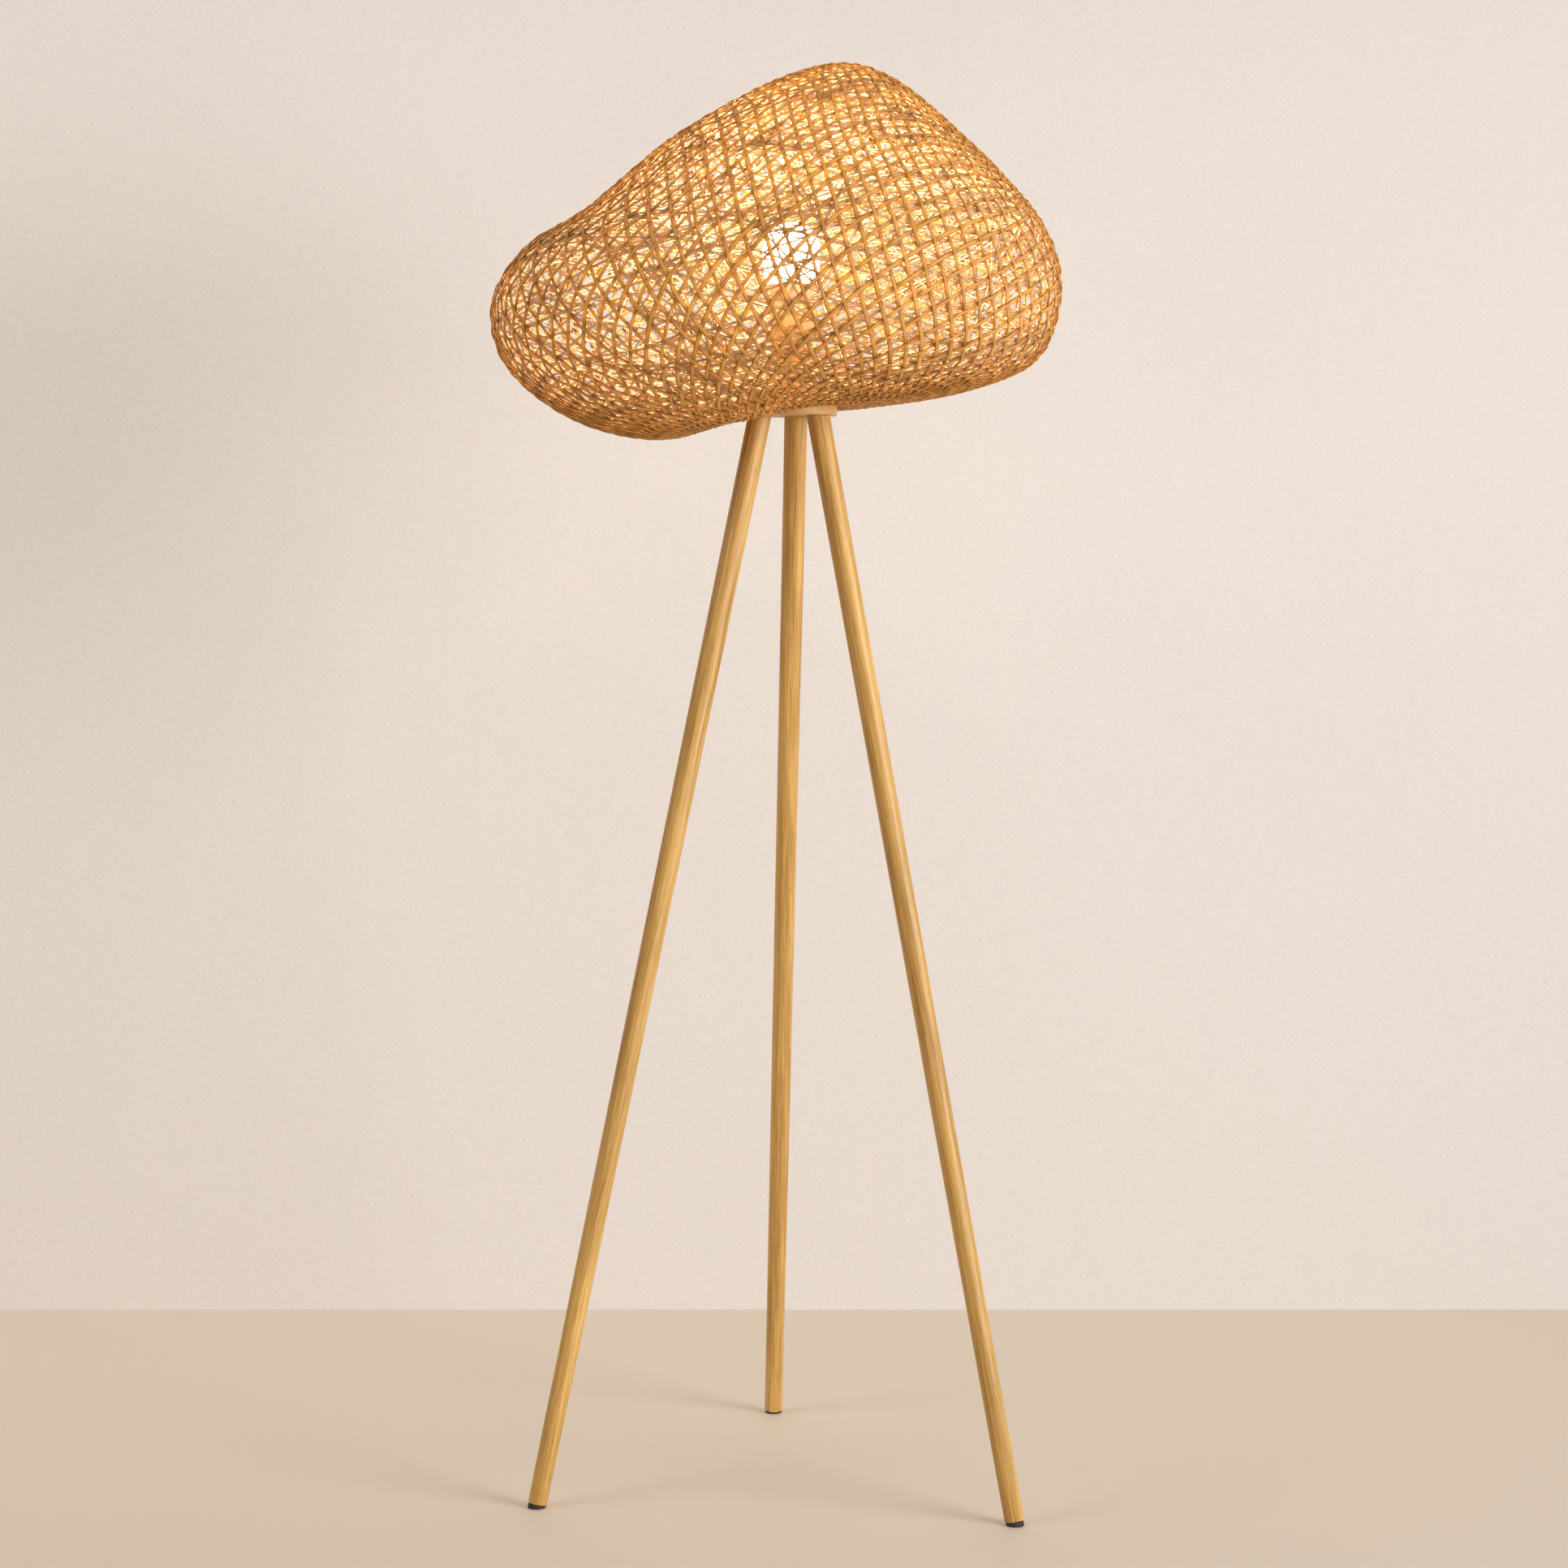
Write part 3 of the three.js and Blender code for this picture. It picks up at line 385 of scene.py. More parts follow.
class Wire:
    """An output socket that can be used in sums; each sum adds the node that works it out"""

    def __init__(self, net, socket):
        self.net = net
        self.socket = socket

    def other(self, name):
        """Another output of the same node"""
        return Wire(self.net, pick(self.socket.node.outputs, name))

    def part(self, index):
        """One number of a vector: 0 for x, 1 for y, 2 for z"""
        return self.net.add("ShaderNodeSeparateXYZ", {}, {0: self}, index)

    def worked(self, operation, first, second):
        vectors = [value for value in (first, second) if is_vector(value)]
        if not vectors:
            return self.net.maths(operation, first, second)
        if operation == "MULTIPLY" and len(vectors) == 1:
            scale = second if vectors[0] is first else first
            return self.net.vector_maths("SCALE", {0: vectors[0], "Scale": scale})
        return self.net.vector_maths(operation, {0: first, 1: second})

    def __add__(self, other):
        return self.worked("ADD", self, other)

    def __radd__(self, other):
        return self.worked("ADD", other, self)

    def __sub__(self, other):
        return self.worked("SUBTRACT", self, other)

    def __rsub__(self, other):
        return self.worked("SUBTRACT", other, self)

    def __mul__(self, other):
        return self.worked("MULTIPLY", self, other)

    def __rmul__(self, other):
        return self.worked("MULTIPLY", other, self)

    def __abs__(self):
        return self.net.maths("ABSOLUTE", self)


def is_vector(value):
    if isinstance(value, Wire):
        return value.socket.type in ("VECTOR", "RGBA")
    return isinstance(value, tuple)


class Net:
    """A node tree under construction"""

    def __init__(self, tree):
        self.tree = tree

    def add(self, kind, settings, inputs, output=0):
        """A node of a kind: its settings come first, then the values or wires of its inputs"""
        node = self.tree.nodes.new(kind)
        for name, value in settings.items():
            setattr(node, name, value)
        for key, value in inputs.items():
            self.feed(value, pick(node.inputs, key))
        return Wire(self, pick(node.outputs, output))

    def feed(self, value, socket):
        if isinstance(value, Wire):
            self.tree.links.new(value.socket, socket)
        else:
            socket.default_value = value

    def maths(self, operation, *values):
        return self.add("ShaderNodeMath", {"operation": operation}, dict(enumerate(values)))

    def vector_maths(self, operation, inputs):
        return self.add("ShaderNodeVectorMath", {"operation": operation}, inputs)

    def vector(self, x, y, z):
        return self.add("ShaderNodeCombineXYZ", {}, {"X": x, "Y": y, "Z": z})


class PatternNet(Net):
    """A tree that makes geometry: named inputs, and an end in plain meshes with a finish"""

    def __init__(self, name, sizes):
        super().__init__(bpy.data.node_groups.new(name, "GeometryNodeTree"))
        interface = self.tree.interface
        interface.new_socket("Geometry", in_out="INPUT", socket_type="NodeSocketGeometry")
        for size in sizes:
            interface.new_socket(size, in_out="INPUT", socket_type="NodeSocketFloat")
        interface.new_socket("Seed", in_out="INPUT", socket_type="NodeSocketInt")
        interface.new_socket("Finish", in_out="INPUT", socket_type="NodeSocketMaterial")
        interface.new_socket("Geometry", in_out="OUTPUT", socket_type="NodeSocketGeometry")
        self.inputs = self.tree.nodes.new("NodeGroupInput")
        self.outputs = self.tree.nodes.new("NodeGroupOutput")

    def given(self, name):
        """What comes in by one of the tree's named inputs"""
        return Wire(self, pick(self.inputs.outputs, name))

    def attribute(self, name, kind="FLOAT"):
        return self.add("GeometryNodeInputNamedAttribute", {"data_type": kind}, {"Name": name})

    def store(self, geometry, name, value, kind="FLOAT"):
        inputs = {"Geometry": geometry, "Name": name, "Value": value}
        return self.add("GeometryNodeStoreNamedAttribute", {"data_type": kind}, inputs)

    def random(self, low, high, index, seed_step):
        inputs = {"Min": low, "Max": high, "ID": index, "Seed": self.given("Seed") + seed_step}
        return self.add("FunctionNodeRandomValue", {"data_type": "FLOAT"}, inputs, "Value")

    def move(self, geometry, offset):
        return self.add("GeometryNodeSetPosition", {}, {"Geometry": geometry, "Offset": offset})

    def flat_profile(self, width, thickness, corners):
        """A flat strand's section: rounded on both faces, with its place across the width kept"""
        circle = self.add("GeometryNodeCurvePrimitiveCircle", {}, {"Resolution": corners, "Radius": 1.0})
        place = self.add("GeometryNodeInputPosition", {}, {})
        marked = self.store(circle, "across", place.part(1))
        scale = self.vector(thickness * 0.5, width * 0.5, 1.0)
        return self.add("GeometryNodeTransform", {}, {"Geometry": marked, "Scale": scale})

    def sweep(self, curve, outward, profile, scale):
        """The profile run along the curve, its flat side facing outward"""
        facing = {"Curve": curve, "Normal": outward}
        turned = self.add("GeometryNodeSetCurveNormal", {"mode": "FREE"}, facing)
        inputs = {"Curve": turned, "Profile Curve": profile, "Scale": scale, "Fill Caps": True}
        swept = self.add("GeometryNodeCurveToMesh", {}, inputs)
        return self.add("GeometryNodeSetShadeSmooth", {}, {"Geometry": swept})

    def finish(self, geometry):
        plain = self.add("GeometryNodeRealizeInstances", {}, {"Geometry": geometry})
        inputs = {"Geometry": plain, "Material": self.given("Finish")}
        self.feed(self.add("GeometryNodeSetMaterial", {}, inputs), self.outputs.inputs[0])

    def run(self, name, mesh, values):
        """The tree's result on a mesh, as a new piece"""
        piece = new_object(name, mesh)
        modifier = piece.modifiers.new("pattern", "NODES")
        modifier.node_group = self.tree
        for item in self.tree.interface.items_tree:
            if item.in_out == "INPUT" and item.name in values:
                modifier[item.identifier] = values[item.name]
        evaluated = piece.evaluated_get(bpy.context.evaluated_depsgraph_get())
        result = bpy.data.meshes.new_from_object(evaluated)
        piece.modifiers.remove(modifier)
        piece.data = result
        result.name = name
        return piece


# Finishes


class FinishNet(Net):
    """A material's tree: one surface shader, fed by patterns"""

    def __init__(self, name):
        self.material = bpy.data.materials.new(name)
        self.material.use_nodes = True
        super().__init__(self.material.node_tree)
        self.shader = self.tree.nodes["Principled BSDF"]

    def set(self, **inputs):
        for name, value in inputs.items():
            self.feed(value, pick(self.shader.inputs, name.replace("_", " ").title()))

    def place(self):
        return self.add("ShaderNodeTexCoord", {}, {}, "Object")

    def mark(self, name):
        return self.add("ShaderNodeAttribute", {"attribute_name": name}, {}, "Fac")

    def noise(self, vector, scale, detail=2.0, roughness=0.5):
        inputs = {"Vector": vector, "Scale": scale, "Detail": detail, "Roughness": roughness}
        return self.add("ShaderNodeTexNoise", {}, inputs, "Fac")

    def ranged(self, value, low, high, to_low=0.0, to_high=1.0):
        inputs = {"Value": value, "From Min": low, "From Max": high, "To Min": to_low, "To Max": to_high}
        return self.add("ShaderNodeMapRange", {}, inputs)

    def mix(self, share, first, second):
        inputs = {"Factor": share, "A": first, "B": second}
        return self.add("ShaderNodeMix", {"data_type": "RGBA"}, inputs, "Result")

    def bump(self, height, strength, distance):
        inputs = {"Strength": strength, "Distance": distance, "Height": height}
        self.feed(self.add("ShaderNodeBump", {}, inputs), self.shader.inputs["Normal"])

    def hide_from_behind(self):
        """A surface that is there from its front only"""
        self.set(alpha=1 - self.add("ShaderNodeNewGeometry", {}, {}, "Backfacing"))

    def let_light_through(self, share, colour):
        """A thin split strand: some of the light behind it comes through"""
        glow = self.add("ShaderNodeBsdfTranslucent", {}, {"Color": colour})
        surface = Wire(self, self.shader.outputs[0])
        mixed = self.add("ShaderNodeMixShader", {}, {"Fac": share, 1: surface, 2: glow})
        self.feed(mixed, self.tree.nodes["Material Output"].inputs["Surface"])


def deepened(colour, share):
    return tuple(channel * share for channel in colour[:3]) + (1.0,)


def strand_finish(name, dark, light, edge, through, translucency):
    """Split rattan: fibres along the strand and a tint for each strand, with painted shade in the edge
    colour on both edges and where the strand passes under another
    """
    net = FinishNet(name)
    along = net.mark("along")
    across = net.mark("across")
    tint = net.mark("tint")
    grid = net.vector(along * 14, across * 2.2, tint * 60)
    fibres = net.noise(grid, scale=3.0, detail=3.0, roughness=0.6)
    patches = net.noise(net.vector(along * 5, tint * 40, 0.0), scale=1.0, detail=1.0)
    share = tint * 0.45 + patches * 0.3 + net.ranged(fibres, 0.3, 0.7) * 0.35 - 0.05
    body = net.mix(share, dark, light)
    # Painted shade: the strand darkens towards the edge colour where it passes under a crossing strand
    dip = net.ranged(net.mark("over"), 0.1, -0.9)
    shaded = net.mix(dip * 0.5, body, edge)
    # Painted shade: both edges of each strand darken towards the edge colour
    rim = net.ranged(abs(across), 0.55, 0.95)
    net.set(base_color=net.mix(rim * 0.85, shaded, edge))
    net.set(roughness=net.ranged(fibres, 0.2, 0.8, 0.5, 0.68))
    net.shader.inputs["Specular IOR Level"].default_value = 0.4
    net.bump(fibres, strength=0.25, distance=0.0004)
    net.let_light_through(translucency, through)
    return net.material


def grain(net, fibres, along, scale, detail=2.0, roughness=0.5):
    """Noise drawn out along the fibres, where its scale is only a small part of the scale across"""
    drawn_out = net.vector(fibres.part(0), fibres.part(1), fibres.part(2) * along)
    return net.noise(drawn_out, scale, detail, roughness)


def wood_finish(name, direction, dark, light, offset):
    """Open-grained wood with its fibres along a direction; the offset gives each piece its own grain"""
    net = FinishNet(name)
    turn = direction.to_track_quat("Z", "Y").to_euler()
    mapping = {"Vector": net.place(), "Rotation": tuple(turn), "Location": (offset, 0, 0)}
    fibres = net.add("ShaderNodeMapping", {"vector_type": "TEXTURE"}, mapping)
    streaks = grain(net, fibres, along=0.02, scale=620.0, detail=3.0, roughness=0.55)
    pores = grain(net, fibres, along=0.035, scale=1500.0)
    bands = grain(net, fibres, along=0.05, scale=90.0)
    share = net.ranged(streaks, 0.32, 0.68) * 0.55 + net.ranged(bands, 0.3, 0.7) * 0.45
    pitted = net.ranged(pores, 0.58, 0.74) * 0.55
    net.set(base_color=net.mix(pitted, net.mix(share, dark, light), deepened(dark, 0.55)))
    net.set(roughness=net.ranged(streaks, 0.2, 0.8, 0.38, 0.52))
    net.bump(pores, strength=0.12, distance=0.0004)
    return net.material


def metal_finish(name, colour, roughness):
    net = FinishNet(name)
    marks = net.noise(net.place(), scale=900.0)
    net.set(base_color=net.mix(marks * 0.3, colour, deepened(colour, 0.7)), metallic=1.0)
    net.set(roughness=net.ranged(marks, 0.2, 0.8, roughness - 0.06, roughness + 0.08))
    net.bump(marks, strength=0.05, distance=0.0002)
    return net.material


def even_finish(name, colour, roughness, speckle=700.0, depth=0.0002, one_sided=False):
    """Plastic, rubber or paint: one colour with a fine speckle"""
    net = FinishNet(name)
    speckles = net.noise(net.place(), speckle)
    net.set(base_color=net.mix(speckles, deepened(colour, 0.88), colour))
    net.set(roughness=net.ranged(speckles, 0.2, 0.8, roughness - 0.05, roughness + 0.05))
    net.bump(speckles, strength=0.15, distance=depth)
    if one_sided:
        net.hide_from_behind()
    return net.material


def opal_finish(name, colour, strength):
    """Lit milky plastic with faint clouds"""
    net = FinishNet(name)
    clouds = net.noise(net.place(), scale=60.0, detail=1.0)
    glow = net.mix(clouds, colour, deepened(colour, 0.94))
    net.set(base_color=glow, emission_color=glow, emission_strength=strength)
    net.set(roughness=net.ranged(clouds, 0.2, 0.8, 0.28, 0.36))
    return net.material


# Each edge colour is the painted shade laid on the strands' edges and where they pass under one another
OUTER_RATTAN = strand_finish(
    "rattan_outer",
    dark=(0.58, 0.255, 0.03, 1),
    light=(0.94, 0.545, 0.15, 1),
    edge=(0.11, 0.028, 0.003, 1),
    through=(0.95, 0.65, 0.25, 1),
    translucency=0.3,
)
INNER_RATTAN = strand_finish(
    "rattan_inner",
    dark=(0.72, 0.36, 0.095, 1),
    light=(1.0, 0.87, 0.6, 1),
    edge=(0.38, 0.15, 0.02, 1),
    through=(1.0, 0.81, 0.53, 1),
    translucency=0.22,
)
HOOP_CORE = even_finish("rattan_core", (0.5, 0.27, 0.09, 1), 0.55)
STEEL = metal_finish("zinc_steel", (0.62, 0.62, 0.63, 1), 0.34)
BRASS = metal_finish("brass", (0.78, 0.56, 0.25, 1), 0.3)
CAP_METAL = metal_finish("nickel_cap", (0.72, 0.71, 0.69, 1), 0.26)
RUBBER = even_finish("foot_rubber", (0.03, 0.024, 0.02, 1), 0.75)
# Holder and sleeve plastic: a warm tan that is painted warm light from the bulb and the shade
HOLDER_PAINTED_WARM_LIGHT = even_finish("holder_plastic", (0.78, 0.5, 0.24, 1), 0.45)
CERAMIC = even_finish("ceramic", (0.85, 0.83, 0.78, 1), 0.25)
# Bulb housing: white plastic tinted warm, painted light bounced from the rattan
BULB_PLASTIC_PAINTED_WARM_LIGHT = even_finish("bulb_plastic", (0.88, 0.76, 0.55, 1), 0.35)
BOARD = even_finish("board", (0.85, 0.84, 0.8, 1), 0.5)
OPAL = opal_finish("lit_opal", (1.0, 0.93, 0.8, 1), strength=20.0)
WOOD_DARK = (0.34, 0.145, 0.02, 1)
WOOD_LIGHT = (0.86, 0.52, 0.15, 1)
# Hub wood: a lighter copy of the legs' wood, painted light where the shade's shadow falls on the hub
HUB_WOOD_DARK_PAINTED_LIT = (0.54, 0.3, 0.085, 1)
HUB_WOOD_LIGHT_PAINTED_LIT = (0.76, 0.49, 0.2, 1)


# Woven shade


def row_name(row, column):
    return ("row", row, column % BRAID_COLUMNS)


class Braid:
    """The outer strands' crossings, laid out flat on a disc whose rim is the mouth

    A square plait lies in the middle, and rows of crossings run from its edge to the rim.
    Places on the disc are complex numbers, with the rim at a distance of 1.
    """

    def __init__(self):
        self.spots = {}
        self.strands = {}
        lines = range(1 - 2 * PLAIT_HALF, 2 * PLAIT_HALF, 2)
        for slant in (1, -1):
            self.strands[slant] = [self.lay(line, slant) for line in lines]
        self.settle()

    def lay(self, line, slant):
        """A strand from rim to rim across the plait, as names of crossings with over or under"""
        low = max(-PLAIT_HALF, line - PLAIT_HALF)
        high = min(PLAIT_HALF, line + PLAIT_HALF)
        cells = [(a, slant * (a - line)) for a in range(low, high + 1)]
        middle = []
        for a, b in cells:
            name = ("plait", a, b)
            self.spots[name] = self.plait_spot(a, b)
            middle.append((name, slant if a % 2 == 0 else -slant))
        return self.run_out(cells[0], -1, -slant)[::-1] + middle + self.run_out(cells[-1], 1, slant)

    def run_out(self, cell, step_a, step_b):
        """A strand's crossings from where it leaves the plait to the rim"""
        a, b = cell
        half = PLAIT_HALF
        if a == half and step_a > 0:
            column, turn = b + half, step_b
        elif b == half and step_b > 0:
            column, turn = 3 * half - a, -step_a
        elif a == -half and step_a < 0:
            column, turn = 5 * half - b, -step_b
        else:
            column, turn = 7 * half + a, step_a
        crossings = []
        for row in range(1, BRAID_ROWS + 1):
            name = row_name(row, column + turn * row)
            self.spots[name] = self.row_spot(row, column + turn * row)
            crossings.append((name, turn if (half + row) % 2 == 0 else -turn))
        return crossings

    def plait_spot(self, a, b):
        square = max(abs(a), abs(b))
        squared = square * PLAIT_SQUARENESS + math.hypot(a, b) * (1 - PLAIT_SQUARENESS)
        return cmath.rect(PLAIT_SHARE * squared / PLAIT_HALF, math.atan2(b, a))

    def edge_spot(self, column):
        """The place on the plait's edge that a column of the rows hangs from"""
        side, along = divmod(column % BRAID_COLUMNS, 2 * PLAIT_HALF)
        return self.plait_spot(PLAIT_HALF, along - PLAIT_HALF) * 1j**side

    def row_spot(self, row, column):
        """The place of a row's crossing: it turns from its place on the plait's edge to an even one"""
        edge = self.edge_spot(column)
        depth = row / BRAID_ROWS
        even = math.radians(column / BRAID_COLUMNS * 360 + PLAIT_CORNER_AZIMUTH)
        gather = BRAID_GATHER * math.sin(even - math.radians(BRAID_GATHER_AZIMUTH))
        turn = cmath.phase(cmath.rect(1, even - gather) / edge)
        ease = min(1, depth * BRAID_TURN_RATE)
        turned = cmath.phase(edge) + turn * ease * ease * (3 - 2 * ease)
        down = depth - BRAID_CLOSING * math.sin(2 * math.pi * depth) / (2 * math.pi)
        return cmath.rect(abs(edge) + (1 - abs(edge)) * down, turned)

    def settle(self):
        """Draws each crossing near the plait to the middle of its neighbours, as tight strands do"""
        neighbours = {name: [] for name in self.spots}
        for strand in self.strands[1] + self.strands[-1]:
            names = [name for name, _ in strand]
            for name, following in zip(names, names[1:]):
                neighbours[name].append(following)
                neighbours[following].append(name)
        loose = [name for name in self.spots if name[0] == "plait" or name[1] <= SETTLED_ROWS]
        for _ in range(SETTLING_ROUNDS):
            for name in loose:
                beside = neighbours[name]
                self.spots[name] = sum(self.spots[other] for other in beside) / len(beside)

    def place(self, name):
        """A crossing's azimuth and share of the way down, with the plait's middle moved off the crown"""
        spot = self.spots[name]
        middle = cmath.rect(PLAIT_MIDDLE_SHARE, math.radians(PLAIT_MIDDLE_AZIMUTH))
        moved = spot + middle * (1 - min(1, abs(spot) ** 2))
        return math.degrees(cmath.phase(moved)), abs(moved)

    def lines(self, form, slant):
        """All strands of one slant as a mesh of edges through their crossings"""
        places, edges, outward, over = [], [], [], []
        for strand in self.strands[slant]:
            start = len(places)
            for name, side in strand:
                azimuth, share = self.place(name)
                places.append(form.at(azimuth, share))
                outward.extend(form.outward(azimuth, share))
                over.append(side)
            edges.extend((index, index + 1) for index in range(start, len(places) - 1))
        mesh = new_mesh("braid_lines", places, edges, [])
        mesh.attributes.new("outward", "FLOAT_VECTOR", "POINT").data.foreach_set("vector", outward)
        mesh.attributes.new("over", "FLOAT", "POINT").data.foreach_set("value", over)
        return mesh


def sweep_strands(net, curves, corners, tint_step, width_step):
    """Flat strands along curves, each a little different in width and tint"""
    strand = net.add("GeometryNodeCurveOfPoint", {}, {}, "Curve Index")
    along = net.add("GeometryNodeSplineParameter", {}, {}, "Length")
    marked = net.store(curves, "along", along)
    marked = net.store(marked, "tint", net.random(0.0, 1.0, strand, tint_step))
    spread = net.given("Width Spread")
    scale = net.random(1 - spread, 1 + spread, strand, width_step)
    profile = net.flat_profile(net.given("Width"), net.given("Thickness"), corners)
    net.finish(net.sweep(marked, net.attribute("outward", "FLOAT_VECTOR"), profile, scale))


def braid_pattern():
    """Flat strands along lines, over and under at the crossings"""
    sizes = ["Width", "Thickness", "Lift", "Depth", "Step", "Width Spread"]
    net = PatternNet("braided_strands", sizes)
    lines = net.add("GeometryNodeMeshToCurve", {}, {"Mesh": net.given("Geometry")})
    settings = {"spline_type": "CATMULL_ROM"}
    curved = net.add("GeometryNodeCurveSplineType", settings, {"Curve": lines})
    inputs = {"Curve": curved, "Length": net.given("Step")}
    stepped = net.add("GeometryNodeResampleCurve", {"mode": "LENGTH"}, inputs)
    rise = net.attribute("over") * net.given("Lift") - net.given("Depth")
    placed = net.move(stepped, net.attribute("outward", "FLOAT_VECTOR") * rise)
    sweep_strands(net, placed, STRAND_CORNERS, 1, 2)
    return net


def scatter(net, skin):
    """Points on a skin, closer together on its top and underside"""
    upward = net.add("GeometryNodeInputNormal", {}, {}).part(2)
    density = net.given("Per Area") * (net.given("Crowding") * upward * upward + 1)
    inputs = {"Mesh": skin, "Density": density, "Seed": net.given("Seed")}
    return net.add("GeometryNodeDistributePointsOnFaces", {}, inputs)


def aim(net, normal):
    """The turn of each fine strand: along the skin and nearly level, or steep for some"""
    index = net.add("GeometryNodeInputIndex", {}, {})
    level = net.vector_maths("CROSS_PRODUCT", {0: (0, 0, 1), 1: normal})
    axes = {"Primary Axis": normal, "Secondary Axis": level}
    flat = net.add("FunctionNodeAxesToRotation", {}, axes)
    steep = net.maths("LESS_THAN", net.random(0.0, 1.0, index, 3), net.given("Steep Share"))
    slope = net.random(*FINE_SLOPES, index, 4) + net.random(*STEEP_EXTRA_SLOPES, index, 5) * steep
    spin = slope * net.maths("SIGN", net.random(-1.0, 1.0, index, 8))
    turn = net.add("FunctionNodeAxisAngleToRotation", {}, {"Axis": (0, 0, 1), "Angle": spin})
    inputs = {"Rotation": flat, "Rotate By": turn}
    return net.add("FunctionNodeRotateRotation", {"rotation_space": "LOCAL"}, inputs)


def lay_lines(net, skin, points, turns):
    """A line at each point, drawn in to the skin, with the skin's outward direction kept on it"""
    reach = net.given("Length") * 0.5
    ends = {"Start": net.vector(0 - reach, 0.0, 0.0), "End": net.vector(reach, 0.0, 0.0)}
    line = net.add("GeometryNodeCurvePrimitiveLine", {}, ends)
    inputs = {"Curve": line, "Count": FINE_POINTS}
    line = net.add("GeometryNodeResampleCurve", {"mode": "COUNT"}, inputs)
    inputs = {"Points": points, "Instance": line, "Rotation": turns}
    instances = net.add("GeometryNodeInstanceOnPoints", {}, inputs)
    laid = net.add("GeometryNodeRealizeInstances", {}, {"Geometry": instances})
    near = net.add("GeometryNodeProximity", {"target_element": "FACES"}, {"Geometry": skin}, "Position")
    drawn = net.add("GeometryNodeSetPosition", {}, {"Geometry": laid, "Position": near})
    inputs = {"Mesh": skin, "Value": net.add("GeometryNodeInputNormal", {}, {})}
    settings = {"data_type": "FLOAT_VECTOR"}
    outward = net.add("GeometryNodeSampleNearestSurface", settings, inputs)
    return net.store(drawn, "outward", outward, "FLOAT_VECTOR")


def fine_pattern():
    """Fine strands laid on the inside of a skin in several directions"""
    sizes = ["Width", "Thickness", "Length", "Width Spread", "Least Depth", "Most Depth"]
    net = PatternNet("fine_strands", sizes + ["Per Area", "Crowding", "Steep Share"])
    skin = net.given("Geometry")
    points = scatter(net, skin)
    lines = lay_lines(net, skin, points, aim(net, points.other("Normal")))
    strand = net.add("GeometryNodeCurveOfPoint", {}, {}, "Curve Index")
    along = net.add("GeometryNodeSplineParameter", {}, {}, "Length")
    wave = net.maths("SINE", along * WAVE_PER_METRE + net.random(0.0, WAVE_LATEST_START, strand, 4))
    middle = net.random(net.given("Least Depth"), net.given("Most Depth"), strand, 5)
    rise = wave * WAVE_HEIGHT - middle
    placed = net.move(lines, net.attribute("outward", "FLOAT_VECTOR") * rise)
    sweep_strands(net, placed, FINE_CORNERS, 6, 7)
    return net


def weave_shade(braid):
    """Two outer pieces, one for each slant, and two inner ones with half of the fine strands each"""
    form = ShadeForm()
    crossings = Braid()
    sizes = {
        "Width": STRAND_WIDTH,
        "Thickness": STRAND_THICKNESS,
        "Lift": STRAND_LIFT,
        "Depth": STRAND_DEPTH,
        "Step": STRAND_STEP,
        "Width Spread": STRAND_WIDTH_SPREAD,
        "Finish": OUTER_RATTAN,
    }
    for name, slant, seed in (("outer_strands_right", 1, 11), ("outer_strands_left", -1, 12)):
        strands = braid.run(name, crossings.lines(form, slant), {**sizes, "Seed": seed})
        fit_out(strands, "shade", "rattan_outer", "shade_outer_weave")
    gores = [node for node in frame["nodes"] if node.startswith("shade_inner")]
    fine = fine_pattern()
    sizes = {
        "Width": FINE_STRAND_WIDTH,
        "Thickness": FINE_STRAND_THICKNESS,
        "Length": FINE_STRAND_LENGTH,
        "Per Area": FINE_STRANDS_PER_AREA / 2,
        "Crowding": FINE_CROWDING,
        "Least Depth": FINE_LEAST_DEPTH,
        "Most Depth": FINE_MOST_DEPTH,
        "Width Spread": FINE_WIDTH_SPREAD,
        "Steep Share": STEEP_SHARE,
        "Finish": INNER_RATTAN,
    }
    for name, seed in (("inner_strands_first", 21), ("inner_strands_second", 22)):
        strands = fine.run(name, form.skin(), {**sizes, "Seed": seed})
        fit_out(strands, "shade", "rattan_inner", *gores)


# Turned and moulded pieces


def lofted(name, rows, ring, finish):
    """Rows of places joined into a closed piece; a row of one place closes an end, a ring joins its ends"""
    places, numbered = [], []
    for row in rows:
        numbered.append(range(len(places), len(places) + len(row)))
        places.extend(row)
    pairs = list(zip(numbered, numbered[1:]))
    if ring:
        pairs.append((numbered[-1], numbered[0]))
    faces = []
    for low, high in pairs:
        for facet in range(ROUND_FACETS):
            beside = facet + 1
            start, end = low[facet % len(low)], low[beside % len(low)]
            corners = [start, end, high[beside % len(high)], high[facet % len(high)]]
            faces.append(list(dict.fromkeys(corners)))
    mesh = new_mesh(name, places, [], faces)
    smooth(mesh)
    mesh.materials.append(finish)
    return new_object(name, mesh)


def eased(corners, ease, ring):
    """An outline with its corners rounded; one that starts and ends on the axis keeps both its ends"""
    around = [corners[-1], *corners, corners[0]] if ring else corners
    outline = []
    for before, corner, after in zip(around, around[1:], around[2:]):
        here = Vector(corner)
        back = (Vector(before) - here).normalized() * ease
        ahead = (Vector(after) - here).normalized() * ease
        outline.append(here + back)
        outline.append(here + (back + ahead) * ARC_MIDDLE)
        outline.append(here + ahead)
    return outline if ring else [corners[0], *outline, corners[-1]]


def turned(name, outline, ring, finish):
    """A round piece on the hub's axis, from its outline of radius and height"""
    rows = []
    for radius, height in outline:
        facets = range(ROUND_FACETS if radius > 0 else 1)
        rows.append([AXIS + on_circle(radius, 360 * facet / ROUND_FACETS, height) for facet in facets])
    return lofted(name, rows, ring, finish)


def round_size(node):
    low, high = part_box(node)
    return (high.x - low.x) / 2, low.z, high.z


